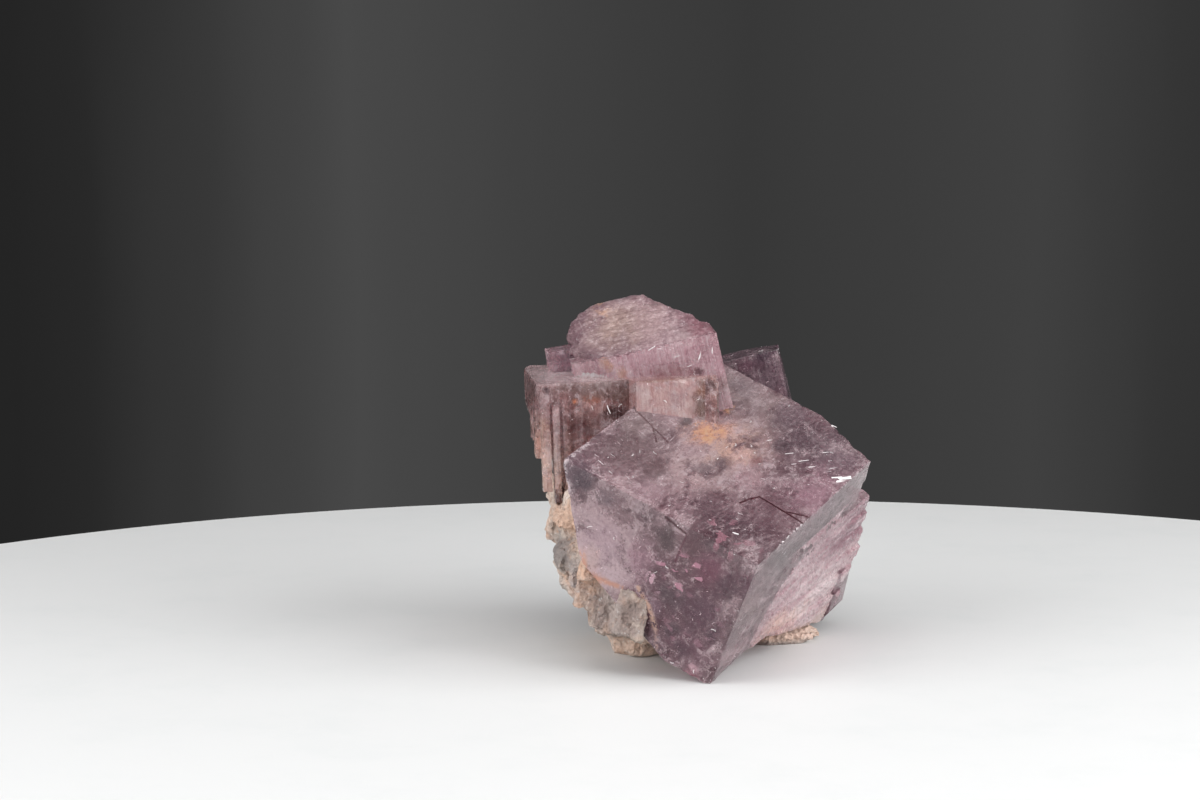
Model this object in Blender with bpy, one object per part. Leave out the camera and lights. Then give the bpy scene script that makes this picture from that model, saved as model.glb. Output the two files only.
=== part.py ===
"""A cluster of purple fluorite cubes grown together on a pale rock matrix, at its real size.

The show side faces -Y, +X is to its right and +Z is up. The specimen stands on the tip of its main
crystal and on the flats under its matrix, all at Z = 0. Sizes below are in millimetres, and each
shape is turned into metres when it is made.
"""

import math
from dataclasses import dataclass

import bmesh
import bpy
import numpy as np
from mathutils import Euler, Matrix, Vector

MM = 0.001
# The shapes are laid out about a point of their own, which lies here from the specimen's origin, the
# middle of its bounding box's base.
LAYOUT = (-1.18, -3.92, 0.0)

# The gap between the crystals and the rock that they grew on.
SEAT_GAP = 0.3


@dataclass(frozen=True)
class Block:
    """A straight-sided crystal: a box in its own axes, less what lies outside its breaks."""

    corner: tuple  # where its own origin lies
    turn: tuple  # degrees about X, Y and Z
    low: tuple
    high: tuple
    breaks: tuple = ()  # each a point and an outward direction, in its own axes


# The main crystal. Its own origin is the corner nearest the viewer, with the top face at z = 0, the
# front face at y = 0 and the ribbed side face at x = 0.
MAIN_CORNER = (8.6, -29.9, 19.6)
MAIN_TURN = (12.9, 24.8, -20.6)
MAIN_WIDTH = 33.8
MAIN_DEPTH = 52.1
MAIN_HEIGHT = 22.6
MAIN = Block(
    corner=MAIN_CORNER,
    turn=MAIN_TURN,
    low=(-MAIN_WIDTH, 0.0, -MAIN_HEIGHT),
    high=(0.0, MAIN_DEPTH, 0.0),
    breaks=(
        ((-33.8, 0.0, -0.6), (-0.86, -0.16, -0.5)),
        ((-24.6, 0.0, -15.4), (-0.75, -0.10, -0.66)),
        ((-9.9, 0.0, -21.7), (-0.42, 0.06, -0.90)),
        ((0.0, 46.0, 0.0), (0.46, 0.88, 0.36)),
        ((0.0, 49.8, -9.5), (0.50, 0.86, -0.12)),
        ((-16.0, 51.0, -22.0), (-0.10, 0.60, -0.79)),
    ),
)
# A second growth under the main crystal's far end, which shares its axes.
MAIN_FOOT = Block(
    corner=MAIN_CORNER,
    turn=MAIN_TURN,
    low=(-15.0, 20.0, -26.6),
    high=(-0.9, 46.0, -20.0),
    breaks=(
        ((-1.0, 25.0, -24.5), (0.15, -0.72, -0.68)),
        ((-9.0, 40.0, -26.6), (-0.62, 0.10, -0.78)),
        ((-1.0, 45.0, -26.0), (0.55, 0.75, -0.36)),
    ),
)
# Growth ribs on the main crystal's side face. A smooth border runs along the top edge and turns down
# beside the front edge; the ribs follow it, one below the other. Points are (y, z) in its own axes.
RIB_LINE = (
    (54.0, -9.0),
    (44.0, -8.1),
    (34.0, -7.2),
    (24.0, -6.7),
    (17.5, -8.0),
    (12.5, -10.6),
    (9.0, -14.2),
    (6.2, -18.4),
    (4.6, -22.2),
)
# The ribs are stairs that step outwards as they go down: how far each one's upper edge lies below the
# border, and its height at the far end, which fades to nothing towards the front edge.
RIBS = (
    (0.0, 0.75),
    (1.5, 0.45),
    (2.6, 1.35),
    (4.0, 1.05),
    (5.2, 1.95),
    (6.8, 1.65),
    (8.1, 2.60),
    (9.8, 2.20),
    (11.3, 3.15),
    (13.2, 2.75),
    (15.0, 3.60),
    (17.2, 3.20),
)
RIB_REACH = 46.0  # y where a rib has its full height
RIB_RISE = 0.06  # how far a rib stands out where it begins
RIB_ROOT = 6.0  # how deep the ribbed part is rooted
RIB_TOP = 6.0  # how far out the space for the ribs reaches
RIB_STEPS = 16  # straight pieces of a rib's edge
RIB_LEAST_STEP = 0.4  # the shortest of them that is kept, along y
RIB_FOOT_STEP = 0.5  # how far a rib's lower edge starts beyond the end of its upper one
# How far every rib is carried past the ribbed part, which is cut to its outline afterwards. Each one
# goes a little further than the last, so that no two of their ends lie in one plane.
RIB_FAR = 60.0
RIB_UNDER = -45.0
RIB_STAGGER = 0.3
RIB_ROOT_STAGGER = 0.1
RIB_FIELD_SPREAD = 1.6  # moves the outline's points far enough out to widen it all round
RIB_FIELD = (
    (0.5, 2.0),
    (0.5, -23.6),
    (5.0, -22.4),
    (12.0, -21.9),
    (20.0, -22.7),
    (28.0, -24.7),
    (36.0, -26.8),
    (42.5, -28.4),
    (46.6, -25.6),
    (47.0, -22.4),
    (51.2, -18.4),
    (52.2, -13.2),
    (53.2, -9.2),
    (52.6, -4.0),
    (50.0, 2.0),
)

# The upright crystal at the left. Its own origin is its near top left corner.
LEFT = Block(
    corner=(-24.7, 3.0, 42.2),
    turn=(0.0, -2.0, 6.0),
    low=(0.0, 0.0, -27.0),
    high=(28.5, 25.0, 0.0),
    breaks=(
        ((0.0, 12.0, -6.0), (-0.94, 0.0, -0.34)),
        ((3.4, 0.0, -15.0), (-0.88, -0.22, -0.42)),
        ((0.0, 24.0, 0.0), (-0.62, 0.78, 0.0)),
        ((20.0, 25.0, -22.0), (0.1, 0.80, -0.60)),
    ),
)
# Narrow upright ridges on that crystal's near left corner: (x, y, width, depth, top, bottom).
CORNER_RIDGES = (
    (0.5, -0.75, 1.5, 2.6, -0.9, -17.0),
    (2.3, -1.15, 1.1, 2.6, -3.6, -19.0),
    (3.9, -0.45, 1.3, 2.0, -2.4, -18.0),
    (-0.3, 1.7, 1.6, 3.2, -2.6, -12.0),
    (-0.25, 7.6, 1.6, 4.2, -4.4, -10.0),
)

# The step that stands before the left crystal, over the main crystal's top face.
STEP = Block(
    corner=(-9.1, 1.6, 42.8),
    turn=(0.0, -1.5, 21.0),
    low=(0.0, 0.0, -9.0),
    high=(14.0, 11.0, 0.0),
    breaks=(
        ((14.0, 5.0, -1.2), (0.78, 0.0, 0.62)),
        ((0.0, 5.0, -6.0), (-0.97, 0.0, -0.24)),
    ),
)

# The pink crystal on top. Its own origin is its near bottom right corner, and its layers rise to the
# right, so its breaks are set in turned axes.
TOP_CORNER = (5.5, 7.6, 41.8)
TOP_TURN = (0.0, -13.0, 3.0)
TOP_LAYER = 0.84  # the thickness of a growth layer
TOP_LAYERS = 8
TOP_FACE_HEIGHT = 8.3  # from the bottom corner to the front face's upper edge
TOP_SETBACK = 1.95  # how far each layer's front edge lies behind the one below
TOP_SINK = 0.6  # how far each layer reaches down into the one below
TOP_SHAKE = 0.35  # how much a layer's edges stray
TOP_SEED = 5
TOP_FRONT = 0.7  # the lowest layer's front, left, right and back edges
TOP_LEFT = -22.9
TOP_RIGHT = -0.3
TOP_BACK = 21.2
TOP_RIGHT_SLOPE = 1.45  # how far the right edge moves in for each millimetre of height
TOP_LEFT_STEP = 0.14  # how fast the left edge moves in, from its first bent layer up
TOP_LEFT_POWER = 2.4
TOP_LEFT_UPRIGHT = 3  # layers below the first bent one
TOP_BACK_STEP = 0.2
TOP = Block(
    corner=TOP_CORNER,
    turn=TOP_TURN,
    low=(-23.4, 0.0, -4.0),
    high=(0.0, 21.5, TOP_FACE_HEIGHT),
    breaks=(
        ((-17.2, 0.0, 6.0), (-0.55, -0.83, 0.0)),
        ((0.0, 13.0, 6.0), (0.80, 0.60, 0.0)),
        ((-20.0, 21.0, 6.0), (-0.62, 0.78, 0.10)),
    ),
)

# The dark crystal behind at the right. Its own origin is its near top right corner.
BACK_RIGHT = Block(
    corner=(14.2, 25.0, 45.1),
    turn=(0.0, -13.5, -4.0),
    low=(-19.0, 0.0, -22.0),
    high=(0.0, 11.5, 0.0),
    breaks=(
        ((0.0, 9.0, -3.0), (0.62, 0.75, 0.22)),
        ((-12.0, 11.5, 0.0), (-0.10, 0.72, 0.69)),
        ((-5.0, 11.0, -19.0), (0.0, 0.70, -0.71)),
    ),
)

# A small crystal behind the top one at the left, and one hanging at the lower right.
BEHIND_LEFT = Block(
    corner=(-22.6, 17.0, 45.6),
    turn=(0.0, -9.0, 12.0),
    low=(0.0, 0.0, -6.0),
    high=(7.0, 5.5, 0.0),
)
LOW_RIGHT = Block(
    corner=(22.3, 15.5, 6.2),
    turn=(4.0, 14.0, -18.0),
    low=(-6.4, 0.0, -5.2),
    high=(0.6, 9.0, 4.0),
    breaks=(((-3.6, 0.0, -5.2), (-0.72, 0.0, -0.69)), ((0.4, 0.0, -3.2), (0.80, 0.0, -0.60))),
)

# Crystals on the far side, which the show side hides.
FAR_SIDE = (
    Block(
        corner=(-2.0, 28.0, 33.5),
        turn=(-9.0, 11.0, 164.0),
        low=(0.0, 0.0, -17.0),
        high=(16.5, 15.0, 0.0),
        breaks=(((16.0, 0.0, -16.0), (0.6, -0.3, -0.74)),),
    ),
    Block(
        corner=(-20.6, 29.0, 36.0),
        turn=(6.0, -8.0, 28.0),
        low=(0.0, -9.0, -12.0),
        high=(11.0, 2.0, 0.0),
    ),
    Block(
        corner=(17.4, 30.0, 24.0),
        turn=(12.0, 24.0, 22.0),
        low=(-13.0, -13.0, -12.5),
        high=(0.0, 0.0, 0.0),
        breaks=(((-1.0, -1.0, -12.0), (0.5, 0.6, -0.62)),),
    ),
    Block(
        corner=(-13.5, 27.5, 22.0),
        turn=(20.0, -6.0, 52.0),
        low=(-9.0, -9.0, -9.0),
        high=(0.0, 0.0, 0.0),
    ),
)

# Lumps of the rock matrix: centre, half sizes, turn about Z in degrees, and the seed of its breaks.
LUMPS = (
    ((-16.8, 11.5, 25.0), (6.2, 7.0, 8.0), 10, 3),
    ((-16.4, 4.6, 21.0), (6.2, 7.2, 6.8), 35, 7),
    ((-15.4, 3.0, 13.8), (6.6, 7.6, 6.2), -20, 11),
    ((-13.2, -4.6, 15.6), (6.4, 8.6, 6.4), 25, 13),
    ((-8.6, -7.4, 11.4), (6.8, 8.4, 6.6), -12, 17),
    ((-10.6, -1.6, 7.4), (6.0, 7.4, 5.4), 40, 19),
    ((-8.0, 2.6, 3.2), (6.2, 6.0, 5.0), 12, 23),
    ((-3.4, -4.0, 6.6), (6.2, 7.2, 5.2), -30, 29),
    ((1.5, 6.5, 7.0), (9.0, 9.0, 8.6), 20, 31),
    ((13.2, 11.8, 2.8), (7.8, 6.8, 6.2), -15, 37),
    ((2.5, 16.5, 8.0), (12.0, 9.0, 10.0), 5, 41),
    ((-9.5, 13.5, 12.0), (10.5, 9.5, 13.0), 50, 43),
    ((-7.0, 18.5, 23.0), (12.0, 8.5, 11.0), -8, 47),
    ((9.5, 22.0, 13.5), (9.0, 6.5, 8.5), 18, 53),
)
LUMP_BREAKS = 26
LUMP_REACH = (0.82, 1.04)  # where a lump's breaks lie, in shares of its half sizes
LUMP_SHAKE = 0.22  # how much their directions stray
LUMP_BLOCK = 1.3  # half the block that they cut, in the same shares

# The slab that cuts the specimen level.
CUTTER_HALF = 90.0
CUTTER_DEPTH = 60.0

FLUORITE_COLOUR = (0.30, 0.19, 0.27, 1.0)
ROCK_COLOUR = (0.58, 0.44, 0.34, 1.0)
FLUORITE_ROUGHNESS = 0.2
ROCK_ROUGHNESS = 0.8


def clear_scene():
    """Removes what the scene starts with."""
    for obj in list(bpy.data.objects):
        bpy.data.objects.remove(obj)


def own_axes(block):
    """The matrix that carries a block's own axes to the specimen's, in millimetres."""
    turn = Euler([math.radians(a) for a in block.turn], "XYZ").to_matrix().to_4x4()
    return Matrix.Translation(block.corner) @ turn


def object_from(bm, name):
    """A mesh object in metres from a bmesh in millimetres."""
    bmesh.ops.recalc_face_normals(bm, faces=bm.faces)
    bmesh.ops.translate(bm, vec=LAYOUT, verts=bm.verts)
    bmesh.ops.scale(bm, vec=(MM, MM, MM), verts=bm.verts)
    mesh = bpy.data.meshes.new(name)
    bm.to_mesh(mesh)
    bm.free()
    obj = bpy.data.objects.new(name, mesh)
    bpy.context.scene.collection.objects.link(obj)
    return obj


def cut_away(bm, point, outward):
    """Cuts a closed convex shape along a plane, drops the outer side and closes the cut."""
    made = bmesh.ops.bisect_plane(
        bm,
        geom=bm.verts[:] + bm.edges[:] + bm.faces[:],
        plane_co=point,
        plane_no=outward,
        clear_outer=True,
    )
    edges = [e for e in made["geom_cut"] if isinstance(e, bmesh.types.BMEdge)]
    if edges:
        bmesh.ops.edgeloop_fill(bm, edges=edges)


def box_mesh(low, high):
    """A box between two corners."""
    bm = bmesh.new()
    bmesh.ops.create_cube(bm, size=1.0)
    middle = (Vector(low) + Vector(high)) / 2
    bmesh.ops.scale(bm, vec=Vector(high) - Vector(low), verts=bm.verts)
    bmesh.ops.translate(bm, vec=middle, verts=bm.verts)
    return bm


def crystal(block, name, grown=0.0):
    """A block as an object, with every face moved out by grown."""
    out = Vector((grown, grown, grown))
    bm = box_mesh(Vector(block.low) - out, Vector(block.high) + out)
    for point, outward in block.breaks:
        direction = Vector(outward).normalized()
        cut_away(bm, Vector(point) + direction * grown, direction)
    bmesh.ops.transform(bm, matrix=own_axes(block), verts=bm.verts)
    return object_from(bm, name)


def prism(outline, axis, low, high, axes, name):
    """A flat outline carried along one of a block's own axes, from low to high."""
    bm = bmesh.new()
    verts = []
    for a, b in outline:
        place = [a, b]
        place.insert(axis, low)
        verts.append(bm.verts.new(place))
    base = bm.faces.new(verts)
    along = Vector((0.0, 0.0, 0.0))
    along[axis] = high - low
    made = bmesh.ops.extrude_face_region(bm, geom=[base])
    moved = [v for v in made["geom"] if isinstance(v, bmesh.types.BMVert)]
    bmesh.ops.translate(bm, vec=along, verts=moved)
    bmesh.ops.transform(bm, matrix=axes, verts=bm.verts)
    return object_from(bm, name)


def line_at(points, share):
    """The point at a share of a line's length, and the line's direction there."""
    points = [Vector(p) for p in points]
    steps = [(b - a).length for a, b in zip(points, points[1:])]
    left = share * sum(steps)
    for a, b, step in zip(points, points[1:], steps):
        if left <= step:
            return a.lerp(b, left / step), (b - a).normalized()
        left -= step
    return points[-1], (points[-1] - points[-2]).normalized()


def rib_edge(below):
    """A rib's upper edge: the border line moved down by below, as (y, z) points."""
    edge = []
    for i in range(RIB_STEPS + 1):
        point, along = line_at(RIB_LINE, i / RIB_STEPS)
        down = Vector((-along.y, along.x))
        down = down if down.y < 0 else -down
        edge.append(point + down * below)
    kept = [edge[0]]
    for point in edge[1:]:
        if point.x < kept[-1].x - RIB_LEAST_STEP:
            kept.append(point)
    return kept


def rib_field(grown=0.0):
    """The space that the ribbed part fills, with its outline moved out by grown."""
    middle = sum((Vector(p) for p in RIB_FIELD), Vector((0.0, 0.0))) / len(RIB_FIELD)
    out = RIB_FIELD_SPREAD * grown
    outline = [Vector(p) + (Vector(p) - middle).normalized() * out for p in RIB_FIELD]
    outline = [(p.x, p.y) for p in outline]
    return prism(outline, 0, -RIB_ROOT - grown, RIB_TOP + grown, own_axes(MAIN), "rib_field")


def ribs():
    """The stepped part of the main crystal's side face."""
    made = []
    axes = own_axes(MAIN)
    for i, (below, height) in enumerate(RIBS):
        edge = rib_edge(below)
        far = RIB_FAR + RIB_STAGGER * i
        under = RIB_UNDER - RIB_STAGGER * i
        root = -RIB_ROOT - RIB_ROOT_STAGGER * i
        outline = [(far, under), (far, edge[0].y)] + [(p.x, p.y) for p in edge]
        outline.append((edge[-1].x - RIB_FOOT_STEP, under))
        slope = height / RIB_REACH
        bm = bmesh.new()
        low = [bm.verts.new((root, y, z)) for y, z in outline]
        top = [bm.verts.new((RIB_RISE + slope * max(y, 0.0), y, z)) for y, z in outline]
        bm.faces.new(low)
        bm.faces.new(top[::-1])
        for j in range(len(low)):
            k = (j + 1) % len(low)
            bm.faces.new((low[k], low[j], top[j], top[k]))
        bmesh.ops.transform(bm, matrix=axes, verts=bm.verts)
        made.append(object_from(bm, f"rib_{i}"))
    stairs = combined(made[0], made[1:], "UNION")
    return [combined(stairs, [rib_field()], "INTERSECT")]


def corner_ridges(grown=0.0):
    """The narrow upright ridges on the left crystal's near corner."""
    made = []
    for i, (x, y, width, depth, top, bottom) in enumerate(CORNER_RIDGES):
        ridge = Block(LEFT.corner, LEFT.turn, (x, y, bottom), (x + width, y + depth, top))
        made.append(crystal(ridge, f"corner_ridge_{i}", grown))
    return made


def layer_outline(left, right, front, back, shake):
    """A growth layer's ragged outline, from its near left corner round to the right."""
    wide, span = right - left, back - front
    return [
        (left + 0.12 * wide, front + 1.2 + shake[0]),
        (left + 0.33 * wide, front - 0.3),
        (left + 0.55 * wide, front + 0.5 + shake[1]),
        (left + 0.78 * wide, front - 0.2 + shake[2]),
        (right, front + 0.3),
        (right + 0.2, front + 0.45 * span),
        (right - 0.25 * span, back),
        (left + 0.25 * span, back),
        (left, back - 0.30 * span),
        (left + 0.2, front + 0.35 * span),
    ]


def top_layers():
    """The top crystal's growth layers, each set back from the one below, with stepped left ends."""
    made = []
    shaker = np.random.default_rng(TOP_SEED)
    for i in range(TOP_LAYERS):
        shake = shaker.uniform(-TOP_SHAKE, TOP_SHAKE, 6)
        rise = TOP_LAYER * i
        bend = TOP_LEFT_STEP * max(i - TOP_LEFT_UPRIGHT, 0) ** TOP_LEFT_POWER
        front = TOP_FRONT + TOP_SETBACK * i + shake[0]
        left = TOP_LEFT + bend + shake[1]
        right = TOP_RIGHT - TOP_RIGHT_SLOPE * rise + shake[2]
        outline = layer_outline(left, right, front, TOP_BACK - TOP_BACK_STEP * i, shake[3:])
        z = TOP_FACE_HEIGHT + rise
        made.append(prism(outline, 2, z - TOP_SINK, z + TOP_LAYER, own_axes(TOP), f"layer_{i}"))
    return made


def lump(centre, half, turn, seed, name):
    """An angular lump of rock: a block with breaks in shaken, evenly spread directions."""
    shaker = np.random.default_rng(seed)
    bm = box_mesh((-LUMP_BLOCK,) * 3, (LUMP_BLOCK,) * 3)
    golden = math.pi * (3 - math.sqrt(5))
    for i in range(LUMP_BREAKS):
        z = 1 - 2 * (i + 0.5) / LUMP_BREAKS
        ring = math.sqrt(1 - z * z)
        spot = Vector((math.cos(golden * i) * ring, math.sin(golden * i) * ring, z))
        direction = (spot + Vector(shaker.uniform(-LUMP_SHAKE, LUMP_SHAKE, 3))).normalized()
        cut_away(bm, direction * shaker.uniform(*LUMP_REACH), direction)
    bmesh.ops.scale(bm, vec=half, verts=bm.verts)
    place = Matrix.Translation(centre) @ Matrix.Rotation(math.radians(turn), 4, "Z")
    bmesh.ops.transform(bm, matrix=place, verts=bm.verts)
    return object_from(bm, name)


def combined(first, others, operation):
    """The first object joined with, or cut by, each of the others, which are then removed."""
    for other in others:
        boolean = first.modifiers.new(other.name, "BOOLEAN")
        boolean.operation = operation
        boolean.object = other
    bpy.context.view_layer.update()
    graph = bpy.context.evaluated_depsgraph_get()
    mesh = bpy.data.meshes.new_from_object(first.evaluated_get(graph))
    first.modifiers.clear()
    first.data = mesh
    for other in others:
        bpy.data.objects.remove(other)
    return first


def without_crumbs(obj):
    """The object without the loose bodies that a cut can leave beside its largest one."""
    bm = bmesh.new()
    bm.from_mesh(obj.data)
    bodies, seen = [], set()
    for vert in bm.verts:
        if vert in seen:
            continue
        body, waiting = [], [vert]
        seen.add(vert)
        while waiting:
            here = waiting.pop()
            body.append(here)
            for edge in here.link_edges:
                there = edge.other_vert(here)
                if there not in seen:
                    seen.add(there)
                    waiting.append(there)
        bodies.append(body)
    largest = max(bodies, key=len)
    crumbs = [v for body in bodies if body is not largest for v in body]
    bmesh.ops.delete(bm, geom=crumbs)
    bm.to_mesh(obj.data)
    bm.free()
    return obj


def main_crystals(grown=0.0):
    """Every straight-sided crystal of the cluster."""
    named = {
        "main": MAIN,
        "main_foot": MAIN_FOOT,
        "left": LEFT,
        "step": STEP,
        "top": TOP,
        "back_right": BACK_RIGHT,
        "behind_left": BEHIND_LEFT,
        "low_right": LOW_RIGHT,
    }
    named.update({f"far_{i}": block for i, block in enumerate(FAR_SIDE)})
    return [crystal(block, name, grown) for name, block in named.items()]


def level_cutter(top):
    """A slab that takes away all below a height."""
    low = (-CUTTER_HALF, -CUTTER_HALF, top - CUTTER_DEPTH)
    bm = box_mesh(low, (CUTTER_HALF, CUTTER_HALF, top))
    return object_from(bm, "level_cutter")


def fluorite_crystals():
    """All the crystals, grown into one solid."""
    pieces = main_crystals() + ribs() + corner_ridges() + top_layers()
    cluster = combined(pieces[0], pieces[1:], "UNION")
    cluster = combined(cluster, [level_cutter(0.0)], "DIFFERENCE")
    cluster.name = "fluorite_crystals"
    return cluster


def rock_matrix():
    """The rock, joined from its lumps, cut level below and cut back from the crystals."""
    lumps = [lump(*spec, f"lump_{i}") for i, spec in enumerate(LUMPS)]
    rock = combined(lumps[0], lumps[1:], "UNION")
    rock = combined(rock, [level_cutter(0.0)], "DIFFERENCE")
    seats = main_crystals(SEAT_GAP) + corner_ridges(SEAT_GAP) + [rib_field(SEAT_GAP)]
    rock = combined(rock, seats, "DIFFERENCE")
    rock.name = "rock_matrix"
    return without_crumbs(rock)


def finish(name, colour, roughness):
    """A plain material."""
    material = bpy.data.materials.new(name)
    material.use_nodes = True
    shader = material.node_tree.nodes["Principled BSDF"]
    shader.inputs["Base Color"].default_value = colour
    shader.inputs["Roughness"].default_value = roughness
    material.diffuse_color = colour
    return material


def main():
    """Builds the specimen."""
    clear_scene()
    cluster = fluorite_crystals()
    cluster.data.materials.clear()
    cluster.data.materials.append(finish("fluorite", FLUORITE_COLOUR, FLUORITE_ROUGHNESS))
    rock = rock_matrix()
    rock.data.materials.clear()
    rock.data.materials.append(finish("rock", ROCK_COLOUR, ROCK_ROUGHNESS))


main()
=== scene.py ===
"""Dresses a purple fluorite cluster on its rock matrix, on a pale turntable before a dark backdrop.

Lengths are in millimetres, and each mesh is turned into metres when it is made. Places are given
about the point that the specimen was laid out from, or in a crystal's own axes, where x runs to the
right, y away from the show side and z up.
"""

import logging
import math
from dataclasses import dataclass
from enum import Enum

import bmesh
import bpy
import numpy as np
from mathutils import Euler, Matrix, Vector, noise
from mathutils.kdtree import KDTree


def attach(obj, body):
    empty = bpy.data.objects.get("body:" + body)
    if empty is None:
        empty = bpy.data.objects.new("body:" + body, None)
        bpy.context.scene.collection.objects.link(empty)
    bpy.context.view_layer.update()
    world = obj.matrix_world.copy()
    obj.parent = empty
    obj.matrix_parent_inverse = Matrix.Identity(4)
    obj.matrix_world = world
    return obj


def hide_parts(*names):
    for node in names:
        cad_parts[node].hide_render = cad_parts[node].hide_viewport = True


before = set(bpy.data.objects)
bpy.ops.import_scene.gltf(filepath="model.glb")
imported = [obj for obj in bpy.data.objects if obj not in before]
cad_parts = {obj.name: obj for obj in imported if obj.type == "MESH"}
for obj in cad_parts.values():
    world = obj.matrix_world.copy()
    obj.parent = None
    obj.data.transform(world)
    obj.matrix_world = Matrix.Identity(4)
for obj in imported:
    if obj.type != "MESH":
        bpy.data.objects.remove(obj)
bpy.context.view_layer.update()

log = logging.getLogger("fluorite")

MM = 0.001
# Where the layout's own point lies from the specimen's origin.
LAYOUT = Vector((-1.18, -3.92, 0.0))

# The photograph's width and focal length in its own pixels, the sensor's width, and the camera.
PHOTO_WIDTH = 1200.0
FOCAL_PIXELS = 3260.0
SENSOR = 36.0
CAMERA_PITCH = 7.56  # degrees downwards
CAMERA_PLACE = Vector((-14.7, -502.2, 106.8))
NEAREST_SEEN = 10.0

Colour = tuple[float, float, float]
Triple = tuple[float, float, float]


class Crystal(Enum):
    """The crystals of the cluster, as far as their finish differs."""

    MAIN = "main"
    RIBS = "ribs"
    LEFT = "left"
    STEP = "step"
    TOP = "top"
    CRUST = "crust"
    BACK = "back"
    FAR = "far"


@dataclass(frozen=True)
class Block:
    """A crystal's box in its own axes, which tells whose surface a point is on."""

    corner: Triple
    turn: Triple
    low: Triple
    high: Triple

    def axes(self) -> Matrix:
        """The matrix from the crystal's own axes to the specimen's, in millimetres."""
        turn = Euler([math.radians(a) for a in self.turn], "XYZ").to_matrix().to_4x4()
        return Matrix.Translation(Vector(self.corner) + LAYOUT) @ turn

    def misfit(self, points: np.ndarray) -> np.ndarray:
        """How badly each point fits this box's surface.

        Args:
            points: Points in the specimen's axes, in millimetres.

        Returns:
            The depth inside the box, or three times the distance outside it.
        """
        back = np.array(self.axes().inverted())
        own = points @ back[:3, :3].T + back[:3, 3]
        middle = (np.array(self.low) + np.array(self.high)) / 2
        half = (np.array(self.high) - np.array(self.low)) / 2
        reach = (np.abs(own - middle) - half).max(axis=1)
        return np.where(reach > 0, reach * 3, -reach)


MAIN_AXES = ((8.6, -29.9, 19.6), (12.9, 24.8, -20.6))
TOP_AXES = ((5.5, 7.6, 41.8), (0.0, -13.0, 3.0))
BLOCKS: dict[Crystal, tuple[Block, ...]] = {
    Crystal.MAIN: (
        Block(*MAIN_AXES, (-33.8, 0.0, -22.6), (0.0, 52.1, 0.0)),
        Block(*MAIN_AXES, (-15.0, 20.0, -26.6), (-0.9, 46.0, -20.0)),
    ),
    Crystal.RIBS: (Block(*MAIN_AXES, (-1.0, 2.0, -30.0), (4.2, 54.0, -6.6)),),
    Crystal.LEFT: (Block((-24.7, 3.0, 42.2), (0.0, -2.0, 6.0), (0, 0, -27.0), (28.5, 25.0, 0)),),
    Crystal.STEP: (Block((-9.1, 1.6, 42.8), (0.0, -1.5, 21.0), (0, 0, -9.0), (14.0, 11.0, 0)),),
    Crystal.TOP: (
        Block(*TOP_AXES, (-23.4, 0.0, -4.0), (0.0, 21.5, 8.3)),
        Block((-22.6, 17.0, 45.6), (0.0, -9.0, 12.0), (0, 0, -6.0), (7.0, 5.5, 0)),
    ),
    Crystal.CRUST: (Block(*TOP_AXES, (-23.6, 0.2, 8.2), (0.2, 21.6, 15.4)),),
    Crystal.BACK: (Block((14.2, 25.0, 45.1), (0.0, -13.5, -4.0), (-19.0, 0, -22.0), (0, 11.5, 0)),),
    Crystal.FAR: (
        Block((-2.0, 28.0, 33.5), (-9.0, 11.0, 164.0), (0, 0, -17.0), (16.5, 15.0, 0)),
        Block((-20.6, 29.0, 36.0), (6.0, -8.0, 28.0), (0, -9.0, -12.0), (11.0, 2.0, 0)),
        Block((17.4, 30.0, 24.0), (12.0, 24.0, 22.0), (-13.0, -13.0, -12.5), (0, 0, 0)),
        Block((-13.5, 27.5, 22.0), (20.0, -6.0, 52.0), (-9.0, -9.0, -9.0), (0, 0, 0)),
        Block((22.3, 15.5, 6.2), (4.0, 14.0, -18.0), (-6.4, 0, -5.2), (0.6, 9.0, 4.0)),
    ),
}


@dataclass(frozen=True)
class Cloud:
    """A cloudy noise: its scale per unit of the point, its octaves, its roughness and its twist."""

    scale: float
    detail: float = 3.0
    rough: float = 0.55
    twist: float = 0.0


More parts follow.
